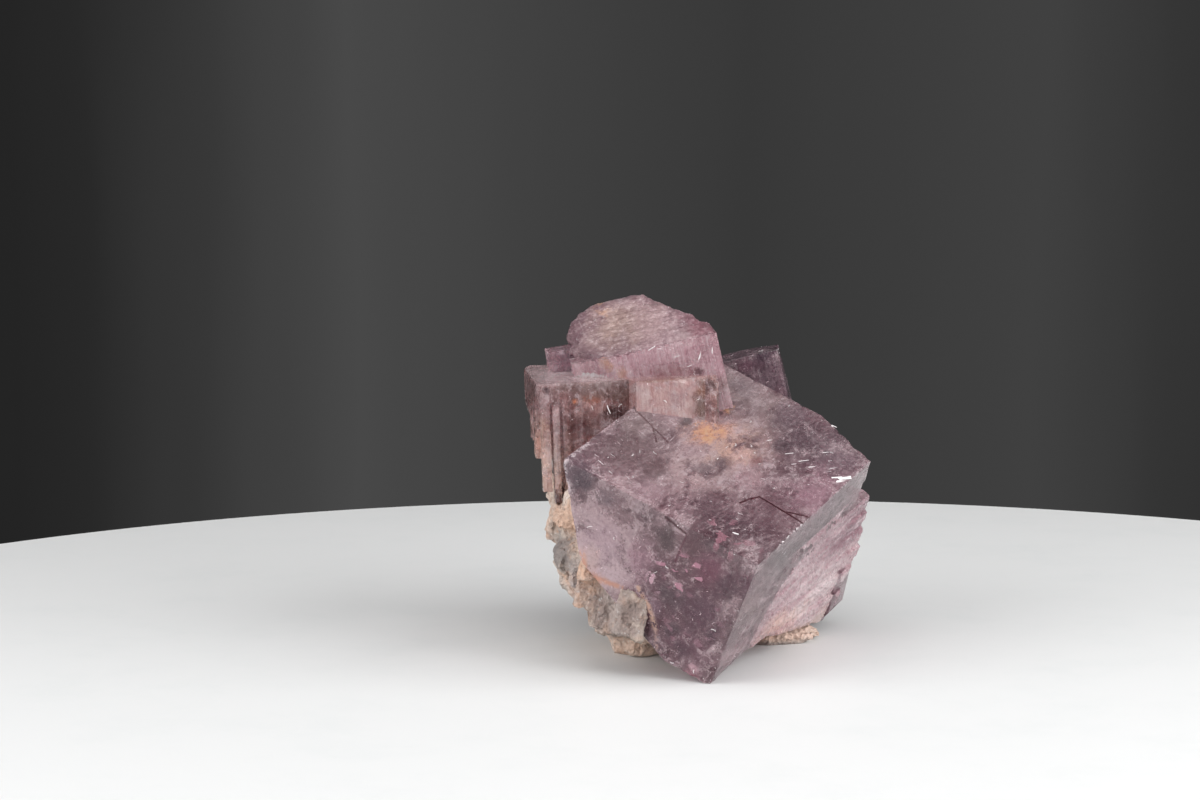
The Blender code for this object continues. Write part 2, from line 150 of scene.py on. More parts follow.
class Sketch:
    """A node tree being drawn, with a short method for each kind of node that it uses.

    Where an argument is an object, it is another node's output or a plain value.
    """

    def __init__(self, tree: bpy.types.NodeTree) -> None:
        """Starts from a tree."""
        self.tree = tree

    def put(self, socket: bpy.types.NodeSocket, value: object) -> None:
        """Links a socket to an output, or gives it a value.

        Args:
            socket: The input to fill.
            value: What it gets, where None leaves it as it is.
        """
        if isinstance(value, bpy.types.NodeSocket):
            self.tree.links.new(value, socket)
        elif value is not None:
            is_colour = socket.type == "RGBA" and len(value) == 3
            socket.default_value = (*value, 1.0) if is_colour else value

    def node(self, kind: str, inputs: dict[str | int, object] | None = None,
             **settings: object) -> bpy.types.Node:
        """A new node with its inputs filled.

        Args:
            kind: The name of its type.
            inputs: What each input gets, by the input's name or number.
            **settings: Its properties.

        Returns:
            The node.
        """
        made = self.tree.nodes.new(kind)
        for name, value in settings.items():
            setattr(made, name, value)
        for name, value in (inputs or {}).items():
            self.put(made.inputs[name], value)
        return made

    def place(self, corner: Vector = LAYOUT, turn: Triple = (0.0, 0.0, 0.0)) -> bpy.types.NodeSocket:
        """The surface point in some axes of its own, in millimetres.

        Args:
            corner: Where those axes start, in the specimen's axes.
            turn: Their turn about X, Y and Z in degrees.

        Returns:
            The vector output.
        """
        inputs = {
            "Vector": self.node("ShaderNodeTexCoord").outputs["Object"],
            "Location": corner * MM,
            "Rotation": [math.radians(a) for a in turn],
            "Scale": (MM, MM, MM),
        }
        return self.node("ShaderNodeMapping", inputs, vector_type="TEXTURE").outputs["Vector"]

    def math(self, operation: str, a: object, b: object = None, c: object = None) -> bpy.types.NodeSocket:
        """One sum on numbers.

        Args:
            operation: The sum's name.
            a: The first number.
            b: The second number, if the sum has one.
            c: The third number, if the sum has one.

        Returns:
            The number output.
        """
        made = self.node("ShaderNodeMath", operation=operation)
        for socket, value in zip(made.inputs, (a, b, c)):
            self.put(socket, value)
        return made.outputs[0]

    def vector(self, operation: str, a: object, b: object = None) -> bpy.types.NodeSocket:
        """One sum on vectors.

        Args:
            operation: The sum's name.
            a: The first vector.
            b: The second vector, if the sum has one.

        Returns:
            The vector output, or the number output of a length or a dot product.
        """
        made = self.node("ShaderNodeVectorMath", operation=operation)
        for socket, value in zip(made.inputs, (a, b)):
            self.put(socket, value)
        return made.outputs["Value" if operation in ("LENGTH", "DOT_PRODUCT") else "Vector"]

    def scaled(self, at: bpy.types.NodeSocket, by: Triple) -> bpy.types.NodeSocket:
        """A vector with each part multiplied."""
        return self.vector("MULTIPLY", at, by)

    def away(self, at: bpy.types.NodeSocket, centre: Triple, reach: Triple) -> bpy.types.NodeSocket:
        """How far a point is from a centre.

        Args:
            at: The point.
            centre: The centre.
            reach: What counts as 1 along each axis.

        Returns:
            The number output.
        """
        offset = self.vector("SUBTRACT", at, centre)
        return self.vector("LENGTH", self.scaled(offset, tuple(1 / r for r in reach)))

    def noise(self, at: object, cloud: Cloud) -> bpy.types.NodeSocket:
        """Cloudy noise between 0 and 1.

        Args:
            at: The point.
            cloud: The kind of noise.

        Returns:
            The number output.
        """
        inputs = {
            "Vector": at,
            "Scale": cloud.scale,
            "Detail": cloud.detail,
            "Roughness": cloud.rough,
            "Distortion": cloud.twist,
        }
        return self.node("ShaderNodeTexNoise", inputs).outputs["Fac"]

    def wander(self, at: object, cloud: Cloud) -> bpy.types.NodeSocket:
        """Cloudy noise about 0, which makes a rim waver."""
        return self.math("SUBTRACT", self.noise(at, cloud), 0.5)

    def cells(self, at: object, scale: float) -> bpy.types.NodeSocket:
        """The distance to the nearest point of scattered cells."""
        return self.node("ShaderNodeTexVoronoi", {"Vector": at, "Scale": scale}).outputs["Distance"]

    def smooth(self, value: object, low: float, high: float) -> bpy.types.NodeSocket:
        """A smooth step from 0 to 1.

        Args:
            value: The number that it follows.
            low: Where it is 0.
            high: Where it is 1, which may be below low.

        Returns:
            The number output.
        """
        made = self.node("ShaderNodeMapRange", interpolation_type="SMOOTHSTEP")
        flipped = low > high
        ends = (high, low, 1.0, 0.0) if flipped else (low, high, 0.0, 1.0)
        for socket, number in zip(made.inputs, (value, *ends)):
            self.put(socket, number)
        return made.outputs["Result"]

    def share(self, value: object, low: float, high: float, most: float) -> bpy.types.NodeSocket:
        """A smooth step from 0 at low to the most that it may be at high."""
        return self.math("MULTIPLY", self.smooth(value, low, high), most)

    def mix(self, share: object, a: object, b: object, blend: str = "MIX") -> bpy.types.NodeSocket:
        """Two colours mixed.

        Args:
            share: How much of the second colour there is.
            a: The first colour.
            b: The second colour.
            blend: How they are mixed.

        Returns:
            The colour output.
        """
        inputs = {"Factor": share, 6: a, 7: b}  # inputs 6 and 7 are its two colours
        return self.node("ShaderNodeMix", inputs, data_type="RGBA", blend_type=blend).outputs[2]

    def ramp(self, share: object, *stops: tuple[float, Colour]) -> bpy.types.NodeSocket:
        """A colour read from stops.

        Args:
            share: The number that picks it.
            *stops: The places from 0 to 1 and their colours.

        Returns:
            The colour output.
        """
        made = self.node("ShaderNodeValToRGB", {"Fac": share})
        marks = made.color_ramp.elements
        while len(marks) < len(stops):
            marks.new(0.5)
        for mark, (position, colour) in zip(marks, stops):
            mark.position = position
            mark.color = (*colour, 1.0)
        return made.outputs["Color"]

    def bump(self, height: object, depth: float, strength: float = 1.0,
             under: object = None) -> bpy.types.NodeSocket:
        """A normal bent by a height.

        Args:
            height: The height.
            depth: How many millimetres a height of 1 is.
            strength: How much the normal follows it.
            under: The normal below, if there is one.

        Returns:
            The normal output.
        """
        inputs = {"Strength": strength, "Distance": depth * MM, "Height": height, "Normal": under}
        return self.node("ShaderNodeBump", inputs).outputs["Normal"]


def fresh_material(name: str) -> tuple[bpy.types.Material, Sketch, bpy.types.Node]:
    """A material with a Principled shader.

    Args:
        name: The material's name.

    Returns:
        The material, its sketch and the shader node.
    """
    material = bpy.data.materials.new(name)
    material.use_nodes = True
    return material, Sketch(material.node_tree), material.node_tree.nodes["Principled BSDF"]


PLUM = (0.165, 0.078, 0.106)
MAUVE = (0.350, 0.222, 0.256)
LILAC = (0.620, 0.455, 0.490)
PEACH = (0.780, 0.450, 0.330)
CREAM = (0.780, 0.640, 0.560)
ROSE = (0.660, 0.370, 0.440)
BROWN = (0.120, 0.050, 0.042)
MILK = (0.780, 0.650, 0.675)
WHITE = (0.880, 0.790, 0.810)
GREY_MAUVE = (0.300, 0.225, 0.240)
DEEP_RED = (0.090, 0.012, 0.022)
SPLINTER_WHITE = (0.85, 0.81, 0.82)
NICK_PINK = (0.64, 0.50, 0.53)
ROCK_CREAM = (0.66, 0.55, 0.48)
ROCK_PEACH = (0.66, 0.42, 0.30)
VOLUME_PINK = (0.70, 0.44, 0.56)

FLUORITE_IOR = 1.434
VOLUME_DENSITY = 22.0  # per metre


@dataclass(frozen=True)
class Zone:
    """A patch of another colour with a wavy rim, placed in a crystal's own axes."""

    centre: Triple
    reach: Triple
    colour: Colour
    share: float = 1.0
    wave: float = 0.5  # how far its rim wavers
    start: float = 1.35  # where it begins, in reaches
    full: float = 0.25  # where it covers all that it may, in reaches

    def tint(self, sketch: Sketch, at: bpy.types.NodeSocket, wander: bpy.types.NodeSocket,
             base: bpy.types.NodeSocket) -> bpy.types.NodeSocket:
        """Lays the patch over a base colour.

        Args:
            sketch: The tree to draw in.
            at: The point in the crystal's own axes.
            wander: Noise about 0 that makes the rim wavy.
            base: The colour below.

        Returns:
            The colour with the patch.
        """
        away = sketch.away(at, self.centre, self.reach)
        away = sketch.math("MULTIPLY_ADD", wander, self.wave * 4, away)
        return sketch.mix(sketch.share(away, self.start, self.full, self.share), base, self.colour)


@dataclass(frozen=True)
class Crack:
    """A thin straight crack between two points of a crystal, in its own axes."""

    start: Triple
    end: Triple
    width: float = 0.22
    colour: Colour = DEEP_RED
    share: float = 0.9
    broken: float = 0.0  # how much of it fades away in spots
    core: float = 0.04  # how much of the width has the full colour
    waver: float = 1.2
    gaps: Cloud = Cloud(1.1, 3.0, 0.7)
    gap_rim: float = 0.1

    def tint(self, sketch: Sketch, at: bpy.types.NodeSocket, wander: bpy.types.NodeSocket,
             base: bpy.types.NodeSocket) -> bpy.types.NodeSocket:
        """Lays the crack over a base colour.

        Args:
            sketch: The tree to draw in.
            at: The point in the crystal's own axes.
            wander: Noise about 0 that makes the crack waver.
            base: The colour below.

        Returns:
            The colour with the crack.
        """
        along = Vector(self.end) - Vector(self.start)
        offset = sketch.vector("SUBTRACT", at, self.start)
        passed = sketch.vector("DOT_PRODUCT", offset, along / along.length_squared)
        passed = sketch.node("ShaderNodeClamp", {"Value": passed}).outputs["Result"]
        nearest = sketch.node("ShaderNodeVectorMath", {0: along, "Scale": passed}, operation="SCALE")
        away = sketch.vector("LENGTH", sketch.vector("SUBTRACT", offset, nearest.outputs["Vector"]))
        away = sketch.math("MULTIPLY_ADD", wander, self.waver, away)
        shown = sketch.share(away, self.width, self.core, self.share)
        if self.broken:
            spots = sketch.smooth(sketch.noise(at, self.gaps), self.broken, self.broken + self.gap_rim)
            shown = sketch.math("MULTIPLY", shown, spots)
        return sketch.mix(shown, base, self.colour)


@dataclass(frozen=True)
class Glints:
    """Angular patches that a cleavage inside the crystal lights up, placed in its own axes."""

    centre: Triple
    reach: Triple
    colour: Colour
    cells: Triple = (0.50, 0.30, 0.75)  # per millimetre along each own axis
    least: float = 0.62  # a cell is lit when its random tone is above this
    share: float = 0.8
    rim: float = 0.08
    fray: float = 2.4
    start: float = 1.1  # where they begin, in reaches
    full: float = 0.7  # where all of them show, in reaches

    def tint(self, sketch: Sketch, at: bpy.types.NodeSocket, wander: bpy.types.NodeSocket,
             base: bpy.types.NodeSocket) -> bpy.types.NodeSocket:
        """Lays the patches over a base colour.

        Args:
            sketch: The tree to draw in.
            at: The point in the crystal's own axes.
            wander: Noise about 0 that frays the patches' rims.
            base: The colour below.

        Returns:
            The colour with the patches.
        """
        shift = sketch.math("MULTIPLY", wander, self.fray)
        frayed = sketch.node("ShaderNodeCombineXYZ", {"X": shift, "Y": shift, "Z": shift})
        moved = sketch.scaled(sketch.vector("ADD", at, frayed.outputs[0]), self.cells)
        cell = sketch.node("ShaderNodeTexVoronoi", {"Vector": moved, "Scale": 1.0})
        parts = sketch.node("ShaderNodeSeparateColor", {0: cell.outputs["Color"]})
        lit = sketch.smooth(parts.outputs[0], self.least, self.least + self.rim)
        near = sketch.smooth(sketch.away(at, self.centre, self.reach), self.start, self.full)
        shown = sketch.math("MULTIPLY", sketch.math("MULTIPLY", lit, near), self.share)
        return sketch.mix(shown, base, self.colour)


@dataclass(frozen=True)
class Veil:
    """Thin bright sheets inside a crystal, which lie where a noise passes its middle value."""

    shift: float
    cloud: Cloud
    width: float

    def field(self, sketch: Sketch, at: bpy.types.NodeSocket) -> bpy.types.NodeSocket:
        """How much of a sheet shows at a point.

        Args:
            sketch: The tree to draw in.
            at: The point.

        Returns:
            A number output between 0 and 1.
        """
        moved = sketch.vector("ADD", at, (self.shift, 0.0, self.shift))
        off = sketch.math("ABSOLUTE", sketch.wander(moved, self.cloud))
        return sketch.smooth(off, self.width, 0.0)


# The noises inside the fluorite and on it, by what they draw.
RIM_WAVES = Cloud(0.20, 7.0, 0.70, 0.7)
FINE_CLOUDS = Cloud(0.45, 6.0, 0.70, 0.5)
WINDOW_FRAY = Cloud(0.60, 6.0, 0.78, 0.4)
GRIT = Cloud(1.7, 5.0, 0.85)
SMOKE = Cloud(0.26, 6.0, 0.66, 0.35)
MILKY_CLOUDS = Cloud(0.30, 7.0, 0.74, 0.45)
MILKY_SHIFT = (31.0, 7.0, 12.0)
VEILS = (
    Veil(3.0, Cloud(0.13, 7.0, 0.66, 0.6), 0.014),
    Veil(17.0, Cloud(0.26, 7.0, 0.66, 0.6), 0.020),
)
VEIL_GAPS = Cloud(0.5, 3.0, 0.7)
SPECKS = Cloud(1.5, 5.0, 0.8, 0.4)
CRACK_WAVES = Cloud(0.40, 6.0, 0.70, 0.5)
GROWTH_TONES = Cloud(1.0, 5.0, 0.75)
GROWTH_STEPS = Cloud(1.0, 4.0, 0.7)
HAZE = Cloud(0.5, 7.0, 0.7)
DIMPLES = Cloud(0.9, 7.0, 0.68)


@dataclass(frozen=True)
class FluoriteFinish:
    """Translucent fluorite: a cloudy purple body, coloured patches, veils, cracks and growth lines."""

    name: str
    corner: Triple
    turn: Triple
    dark: Colour
    middle: Colour
    pale: Colour
    cloud_scale: float = 0.10
    zones: tuple[Zone, ...] = ()
    windows: tuple[Zone, ...] = ()  # patches that the inner clouds don't cross
    glints: tuple[Glints, ...] = ()
    cracks: tuple[Crack, ...] = ()
    # What the inner clouds are multiplied with along each own axis, as they show foreshortened.
    stretch: Triple = (1.0, 0.42, 1.0)
    cloud_strength: float = 1.0
    grit: float = 0.34
    contrast: float = 1.3
    gain: float = 1.24
    lines: Triple = (0.0, 0.0, 0.0)  # growth lines per millimetre along each own axis
    line_depth: float = 0.0
    line_tone: float = 0.0
    roughness: float = 0.06
    hazy_roughness: float = 0.24  # what the haziest parts add to it
    transmission: float = 0.64
    dimple_depth: float = 0.16
    dimple_strength: float = 0.8

    def clouds(self, sketch: Sketch, at: bpy.types.NodeSocket) -> bpy.types.NodeSocket:
        """Broad clouds broken up by finer ones, with the listed patches.

        Args:
            sketch: The tree to draw in.
            at: The point in the crystal's own axes.

        Returns:
            The colour output.
        """
        eased = sketch.scaled(at, self.stretch)
        wander = sketch.wander(eased, RIM_WAVES)
        broad = sketch.noise(eased, Cloud(self.cloud_scale, 6.0, 0.64, 0.8))
        fine = sketch.noise(eased, FINE_CLOUDS)
        cloud = sketch.math("MULTIPLY_ADD", fine, 0.40, sketch.math("MULTIPLY", broad, 0.60))
        colour = sketch.ramp(cloud, (0.37, self.dark), (0.48, self.middle), (0.61, self.pale))
        for zone in self.zones:
            colour = zone.tint(sketch, at, wander, colour)
        colour = self.clouded(sketch, eased, colour)
        fray = sketch.wander(eased, WINDOW_FRAY)
        fray = sketch.math("MULTIPLY_ADD", fray, 1.2, sketch.math("MULTIPLY", wander, 0.5))
        for window in self.windows:
            colour = window.tint(sketch, at, fray, colour)
        grit = sketch.noise(eased, GRIT)
        colour = sketch.mix(sketch.share(grit, 0.50, 0.38, self.grit), colour, self.dark)
        return sketch.mix(sketch.share(grit, 0.52, 0.64, self.grit), colour, WHITE)

    def clouded(self, sketch: Sketch, at: bpy.types.NodeSocket,
                colour: bpy.types.NodeSocket) -> bpy.types.NodeSocket:
        """Adds smoky patches, milky clouds, thin bright veils and specks.

        Args:
            sketch: The tree to draw in.
            at: The point in the crystal's own axes, eased along its depth.
            colour: The colour below.

        Returns:
            The colour with the clouds.
        """
        cloud = self.cloud_strength
        smoke = sketch.share(sketch.noise(at, SMOKE), 0.49, 0.66, 0.85 * cloud)
        colour = sketch.mix(smoke, colour, self.dark)
        milk = sketch.noise(sketch.vector("ADD", at, MILKY_SHIFT), MILKY_CLOUDS)
        colour = sketch.mix(sketch.share(milk, 0.49, 0.68, 0.70 * cloud), colour, MILK)
        kept = sketch.smooth(sketch.noise(at, VEIL_GAPS), 0.46, 0.58)
        for veil in VEILS:
            sheet = sketch.math("MULTIPLY", veil.field(sketch, at), kept)
            colour = sketch.mix(sketch.math("MULTIPLY", sheet, 0.7 * cloud), colour, MILK)
        specks = sketch.share(sketch.noise(at, SPECKS), 0.57, 0.68, 0.45 * cloud)
        return sketch.mix(specks, colour, WHITE)

    def body(self, sketch: Sketch, at: bpy.types.NodeSocket) -> bpy.types.NodeSocket:
        """The body colour with patches, glints, cracks and growth lines.

        Args:
            sketch: The tree to draw in.
            at: The point in the crystal's own axes.

        Returns:
            The colour output.
        """
        colour = self.clouds(sketch, at)
        wander = sketch.wander(at, CRACK_WAVES)
        for glint in self.glints:
            colour = glint.tint(sketch, at, wander, colour)
        for crack in self.cracks:
            colour = crack.tint(sketch, at, sketch.math("MULTIPLY", wander, 0.3), colour)
        if self.line_tone:
            strip = sketch.noise(sketch.scaled(at, self.lines), GROWTH_TONES)
            colour = sketch.mix(sketch.share(strip, 0.50, 0.66, self.line_tone), colour, MILK)
            colour = sketch.mix(sketch.share(strip, 0.48, 0.36, self.line_tone), colour, self.dark)
        deepened = sketch.node("ShaderNodeGamma", {"Color": colour, "Gamma": self.contrast})
        raised = sketch.mix(1.0, deepened.outputs[0], (self.gain,) * 3, "MULTIPLY")
        raised.node.clamp_result = True
        return raised

    def build(self) -> bpy.types.Material:
        """Makes the material.

        Returns:
            The material, with its absorbing inside.
        """
        material, sketch, shader = fresh_material(self.name)
        at = sketch.place(Vector(self.corner) + LAYOUT, self.turn)
        sketch.put(shader.inputs["Base Color"], self.body(sketch, at))
        haze = sketch.smooth(sketch.noise(at, HAZE), 0.46, 0.66)
        rough = sketch.math("MULTIPLY_ADD", haze, self.hazy_roughness, self.roughness)
        sketch.put(shader.inputs["Roughness"], rough)
        shader.inputs["Transmission Weight"].default_value = self.transmission
        shader.inputs["IOR"].default_value = FLUORITE_IOR
        normal = sketch.bump(sketch.noise(at, DIMPLES), self.dimple_depth, self.dimple_strength)
        if self.line_depth:
            strip = sketch.noise(sketch.scaled(at, self.lines), GROWTH_STEPS)
            normal = sketch.bump(strip, self.line_depth, 1.0, normal)
        sketch.put(shader.inputs["Normal"], normal)
        inside = {"Color": VOLUME_PINK, "Density": VOLUME_DENSITY}
        absorb = sketch.node("ShaderNodeVolumeAbsorption", inside)
        output = material.node_tree.nodes["Material Output"]
        sketch.put(output.inputs["Volume"], absorb.outputs["Volume"])
        return material


FLUORITE_FINISHES: dict[Crystal, FluoriteFinish] = {
    Crystal.MAIN: FluoriteFinish(
        name="fluorite_main",
        corner=MAIN_AXES[0],
        turn=MAIN_AXES[1],
        dark=(0.170, 0.098, 0.118),
        middle=(0.350, 0.242, 0.268),
        pale=(0.650, 0.505, 0.530),
        cloud_scale=0.11,
        zones=(
            Zone((-25.0, 0.0, -10.0), (9.0, 8.0, 8.0), (0.74, 0.60, 0.62), 0.85),
            Zone((-21.5, 0.0, -13.0), (6.5, 6.0, 4.5), MILK, 0.8),
            Zone((-16.0, 0.0, -10.0), (4.0, 6.0, 6.0), (0.46, 0.32, 0.37), 0.6),
            Zone((-33.0, 0.0, -2.0), (4.5, 6.0, 3.2), (0.22, 0.16, 0.19), 0.8),
            Zone((-8.5, 0.0, -11.5), (8.0, 9.0, 10.0), PLUM, 0.85),
            Zone((-5.0, 0.0, -18.0), (4.5, 6.0, 5.0), (0.24, 0.13, 0.17), 0.8),
            Zone((-3.4, 0.0, -22.6), (1.6, 6.0, 1.6), (0.62, 0.36, 0.42), 0.7),
            Zone((-22.5, 0.0, -15.4), (1.6, 3.0, 0.8), PEACH, 0.7, 0.8),
            Zone((-27.0, 13.0, 0.0), (8.0, 10.0, 4.0), GREY_MAUVE, 0.8),
            Zone((-31.0, 20.0, 0.0), (4.0, 6.0, 4.0), (0.36, 0.29, 0.29), 0.7),
            Zone((-19.0, 17.0, 0.0), (6.5, 11.0, 5.0), (0.66, 0.52, 0.53), 0.85),
            Zone((-22.0, 27.0, 0.0), (4.0, 6.0, 5.0), (0.60, 0.44, 0.44), 0.7),
            Zone((-18.0, 30.0, 0.0), (7.0, 13.0, 4.0), (0.70, 0.52, 0.50), 0.75),
            Zone((-21.9, 29.5, 0.0), (2.2, 4.6, 5.0), PEACH, 0.9, 1.3),
            Zone((-23.6, 38.5, 0.0), (2.0, 4.0, 4.0), PEACH, 0.8, 1.4),
            Zone((-17.0, 29.0, 0.0), (3.4, 6.0, 4.0), (0.76, 0.56, 0.50), 0.6, 1.5),
            Zone((-24.0, 46.0, 0.0), (9.0, 8.0, 5.0), (0.54, 0.44, 0.44), 0.8),
            Zone((-8.0, 42.0, 0.0), (8.0, 9.0, 5.0), (0.25, 0.185, 0.21), 0.9),
            Zone((-3.4, 30.0, 0.0), (4.0, 10.0, 4.0), (0.52, 0.35, 0.40), 0.75),
            Zone((-8.0, 7.0, 0.0), (9.0, 7.0, 4.0), (0.20, 0.130, 0.155), 0.95),
            Zone((0.6, 22.0, -3.0), (1.0, 44.0, 10.0), (0.20, 0.155, 0.165), 0.85, 0.2),
            Zone((0.2, 8.0, -9.0), (1.0, 12.0, 9.0), (0.20, 0.150, 0.160), 0.8, 0.3),
        ),
        windows=(
            Zone((-7.5, 0.0, -0.5), (5.0, 3.0, 2.0), (0.16, 0.10, 0.12), 0.85, 0.6),
            Zone((-30.0, 0.0, -1.5), (2.0, 3.0, 2.5), (0.17, 0.13, 0.16), 0.75),
            Zone((-25.5, 0.0, -2.5), (1.5, 3.0, 1.5), (0.20, 0.15, 0.18), 0.6),
            Zone((-14.5, 0.0, -4.0), (2.0, 3.0, 2.5), (0.17, 0.12, 0.13), 0.85),
            Zone((-10.5, 0.0, -2.5), (2.5, 3.0, 3.0), (0.22, 0.13, 0.15), 0.9, 0.4),
            Zone((-6.5, 0.0, -4.5), (2.5, 3.0, 3.0), (0.27, 0.12, 0.17), 0.9, 0.4),
            Zone((-3.0, 0.0, -5.5), (2.0, 3.0, 3.0), (0.14, 0.07, 0.10), 0.9, 0.4),
            Zone((-10.5, 0.0, -12.0), (3.0, 3.0, 2.0), (0.15, 0.10, 0.12), 0.85),
            Zone((-8.5, 0.0, -17.0), (1.5, 3.0, 1.5), (0.11, 0.07, 0.09), 0.85),
            Zone((-2.5, 0.0, -14.5), (1.0, 3.0, 1.5), (0.12, 0.07, 0.10), 0.8),
            Zone((-6.0, 0.0, -19.0), (2.0, 3.0, 1.5), (0.15, 0.09, 0.12), 0.75, 0.6),
            Zone((-0.5, 0.0, -4.0), (1.5, 3.0, 3.0), (0.17, 0.08, 0.12), 0.7, 0.6),
            Zone((-5.5, 0.0, -12.0), (3.5, 3.0, 3.5), (0.20, 0.11, 0.15), 0.8, 0.6),
            Zone((-23.5, 0.0, -9.5), (3.5, 3.0, 4.0), (0.62, 0.48, 0.53), 0.6, 0.6),
            Zone((-24.5, 0.0, -13.5), (1.5, 3.0, 3.0), (0.72, 0.60, 0.60), 0.7),
            Zone((-17.5, 0.0, -9.0), (2.0, 3.0, 2.5), (0.50, 0.33, 0.39), 0.5, 0.7),
            Zone((-3.5, 0.0, -21.0), (0.8, 3.0, 0.9), (0.84, 0.60, 0.66), 0.75, 0.9),
            Zone((-12.5, 0.0, -15.0), (1.5, 3.0, 1.5), (0.38, 0.26, 0.32), 0.6, 0.7),
            Zone((-29.0, 11.5, 0.0), (4.0, 6.5, 2.5), (0.27, 0.20, 0.21), 0.8, 0.4),
            Zone((-23.0, 10.5, 0.0), (2.5, 4.5, 2.5), (0.22, 0.16, 0.17), 0.75),
            Zone((-12.0, 36.5, 0.0), (1.5, 3.0, 2.5), (0.19, 0.14, 0.16), 0.8, 0.3),
            Zone((-16.5, 22.5, 0.0), (1.5, 3.0, 2.5), (0.24, 0.17, 0.19), 0.7, 0.6),
            Zone((-17.5, 17.5, 0.0), (1.5, 3.0, 2.5), (0.24, 0.18, 0.20), 0.65, 0.6),
            Zone((-11.5, 5.5, 0.0), (3.0, 4.5, 2.5), (0.22, 0.15, 0.17), 0.8, 0.6),
            Zone((-4.5, 15.5, 0.0), (4.5, 7.5, 2.5), (0.31, 0.20, 0.23), 0.6),
            Zone((-2.0, 26.0, 0.0), (3.0, 5.5, 2.5), (0.56, 0.37, 0.43), 0.7),
            Zone((-3.5, 40.5, 0.0), (3.0, 6.0, 2.5), (0.27, 0.20, 0.23), 0.65),
            Zone((-15.5, 47.0, 0.0), (3.0, 5.5, 2.5), (0.30, 0.23, 0.26), 0.6),
            Zone((-15.5, 27.0, 0.0), (2.0, 3.0, 2.5), (0.82, 0.58, 0.52), 0.6, 1.3),
            Zone((-13.0, 28.0, 0.0), (1.0, 2.0, 2.5), (0.40, 0.22, 0.22), 0.7, 0.7),
            Zone((-22.0, 28.5, 0.0), (2.0, 3.5, 2.5), (0.95, 0.57, 0.37), 0.85, 1.5),
            Zone((-18.5, 27.5, 0.0), (1.5, 3.0, 2.5), (0.88, 0.62, 0.53), 0.6, 1.5),
            Zone((-24.0, 39.0, 0.0), (1.5, 3.0, 2.5), (0.95, 0.60, 0.41), 0.85, 1.2),
            Zone((-21.5, 21.0, 0.0), (2.0, 3.5, 2.5), (0.62, 0.47, 0.50), 0.6, 0.7),
            Zone((-11.5, 22.0, 0.0), (2.5, 4.0, 2.5), (0.60, 0.43, 0.46), 0.6, 0.7),
            Zone((-20.5, 3.5, 0.0), (2.5, 3.5, 2.5), (0.55, 0.41, 0.45), 0.5, 0.7),
            Zone((-24.5, 48.5, 0.0), (2.5, 4.0, 2.5), (0.45, 0.37, 0.39), 0.7, 0.6),
            Zone((-26.0, 28.5, 0.0), (1.0, 2.0, 2.5), (0.16, 0.13, 0.14), 0.8, 0.4),
        ),
        glints=(
            Glints((-9.6, 0.0, -7.6), (5.8, 4.0, 3.6), (0.78, 0.46, 0.56), (0.8, 0.3, 1.3), 0.84),
            Glints((-13.4, 0.0, -9.6), (2.4, 4.0, 3.4), (0.86, 0.62, 0.70), (1.6, 0.3, 0.6), 0.78),
            Glints((-6.0, 4.0, 0.0), (5.0, 6.0, 3.0), ROSE, (0.9, 0.5, 0.7), 0.80, 0.6),
            Glints((-6.0, 0.0, -14.0), (5.0, 4.0, 6.0), (0.62, 0.38, 0.46), (1.0, 0.3, 1.3), 0.90, 0.6),
        ),
        cracks=(
            Crack((-33.9, 0.0, -0.5), (-31.5, 0.0, -4.4), 1.0, WHITE, 0.85, 0.44),
            Crack((-31.5, 0.0, -4.4), (-26.4, 0.0, -12.8), 0.5, MILK, 0.8, 0.40),
            Crack((-33.6, 0.0, -0.2), (-33.6, 8.0, 0.0), 1.2, WHITE, 0.8, 0.46),
            Crack((-26.0, 0.0, -13.0), (-24.0, 0.0, -16.0), 0.9, (0.80, 0.50, 0.38), 0.9, 0.40),
            Crack((-24.0, 0.0, -16.0), (-18.4, 0.0, -14.8), 0.7, (0.80, 0.48, 0.36), 0.9, 0.38),
            Crack((-15.9, 0.0, -13.4), (-13.4, 0.0, -15.4), 0.6, (0.84, 0.62, 0.50), 0.85, 0.42),
            Crack((-13.4, 0.0, -15.4), (-11.1, 0.0, -18.2), 0.8, (0.84, 0.62, 0.50), 0.85, 0.40),
            Crack((-11.1, 0.0, -18.2), (-9.6, 0.0, -21.6), 0.6, (0.70, 0.50, 0.46), 0.7, 0.42),
            Crack((-30.0, 0.6, 0.0), (-19.2, 1.2, 0.0), 0.35, MILK, 0.7, 0.46),
            Crack((-19.2, 0.0, 0.0), (-4.2, 0.0, -0.4), 0.26, MILK, 0.6, 0.52),
            Crack((0.0, 8.0, 0.0), (0.0, 18.0, 0.0), 0.45, WHITE, 0.9, 0.46),
            Crack((0.0, 28.0, 0.0), (0.0, 52.0, 0.0), 0.35, WHITE, 0.7, 0.48),
            Crack((-15.8, 0.0, -0.4), (-12.0, 0.0, -1.2), 0.30, share=0.8),
            Crack((-11.8, 0.0, -1.4), (-12.0, 0.0, -6.2), 0.22, (0.20, 0.05, 0.09), 0.7),
            Crack((-9.5, 13.8, 0.0), (-8.9, 16.4, 0.0)),
            Crack((-8.9, 16.4, 0.0), (-8.1, 18.4, 0.0)),
            Crack((-8.1, 18.4, 0.0), (-0.2, 17.6, 0.0), 0.34),
            Crack((-3.2, 18.3, 0.0), (0.0, 20.4, 0.0), 0.26),
            Crack((-33.0, 24.0, 0.0), (-25.2, 19.9, 0.0), 0.26, share=0.7),
            Crack((-29.4, 22.6, 0.0), (-26.4, 18.2, 0.0), 0.20, share=0.6),
        ),
    ),
    Crystal.RIBS: FluoriteFinish(
        name="fluorite_ribs",
        corner=MAIN_AXES[0],
        turn=MAIN_AXES[1],
        dark=(0.50, 0.32, 0.36),
        middle=(0.69, 0.555, 0.57),
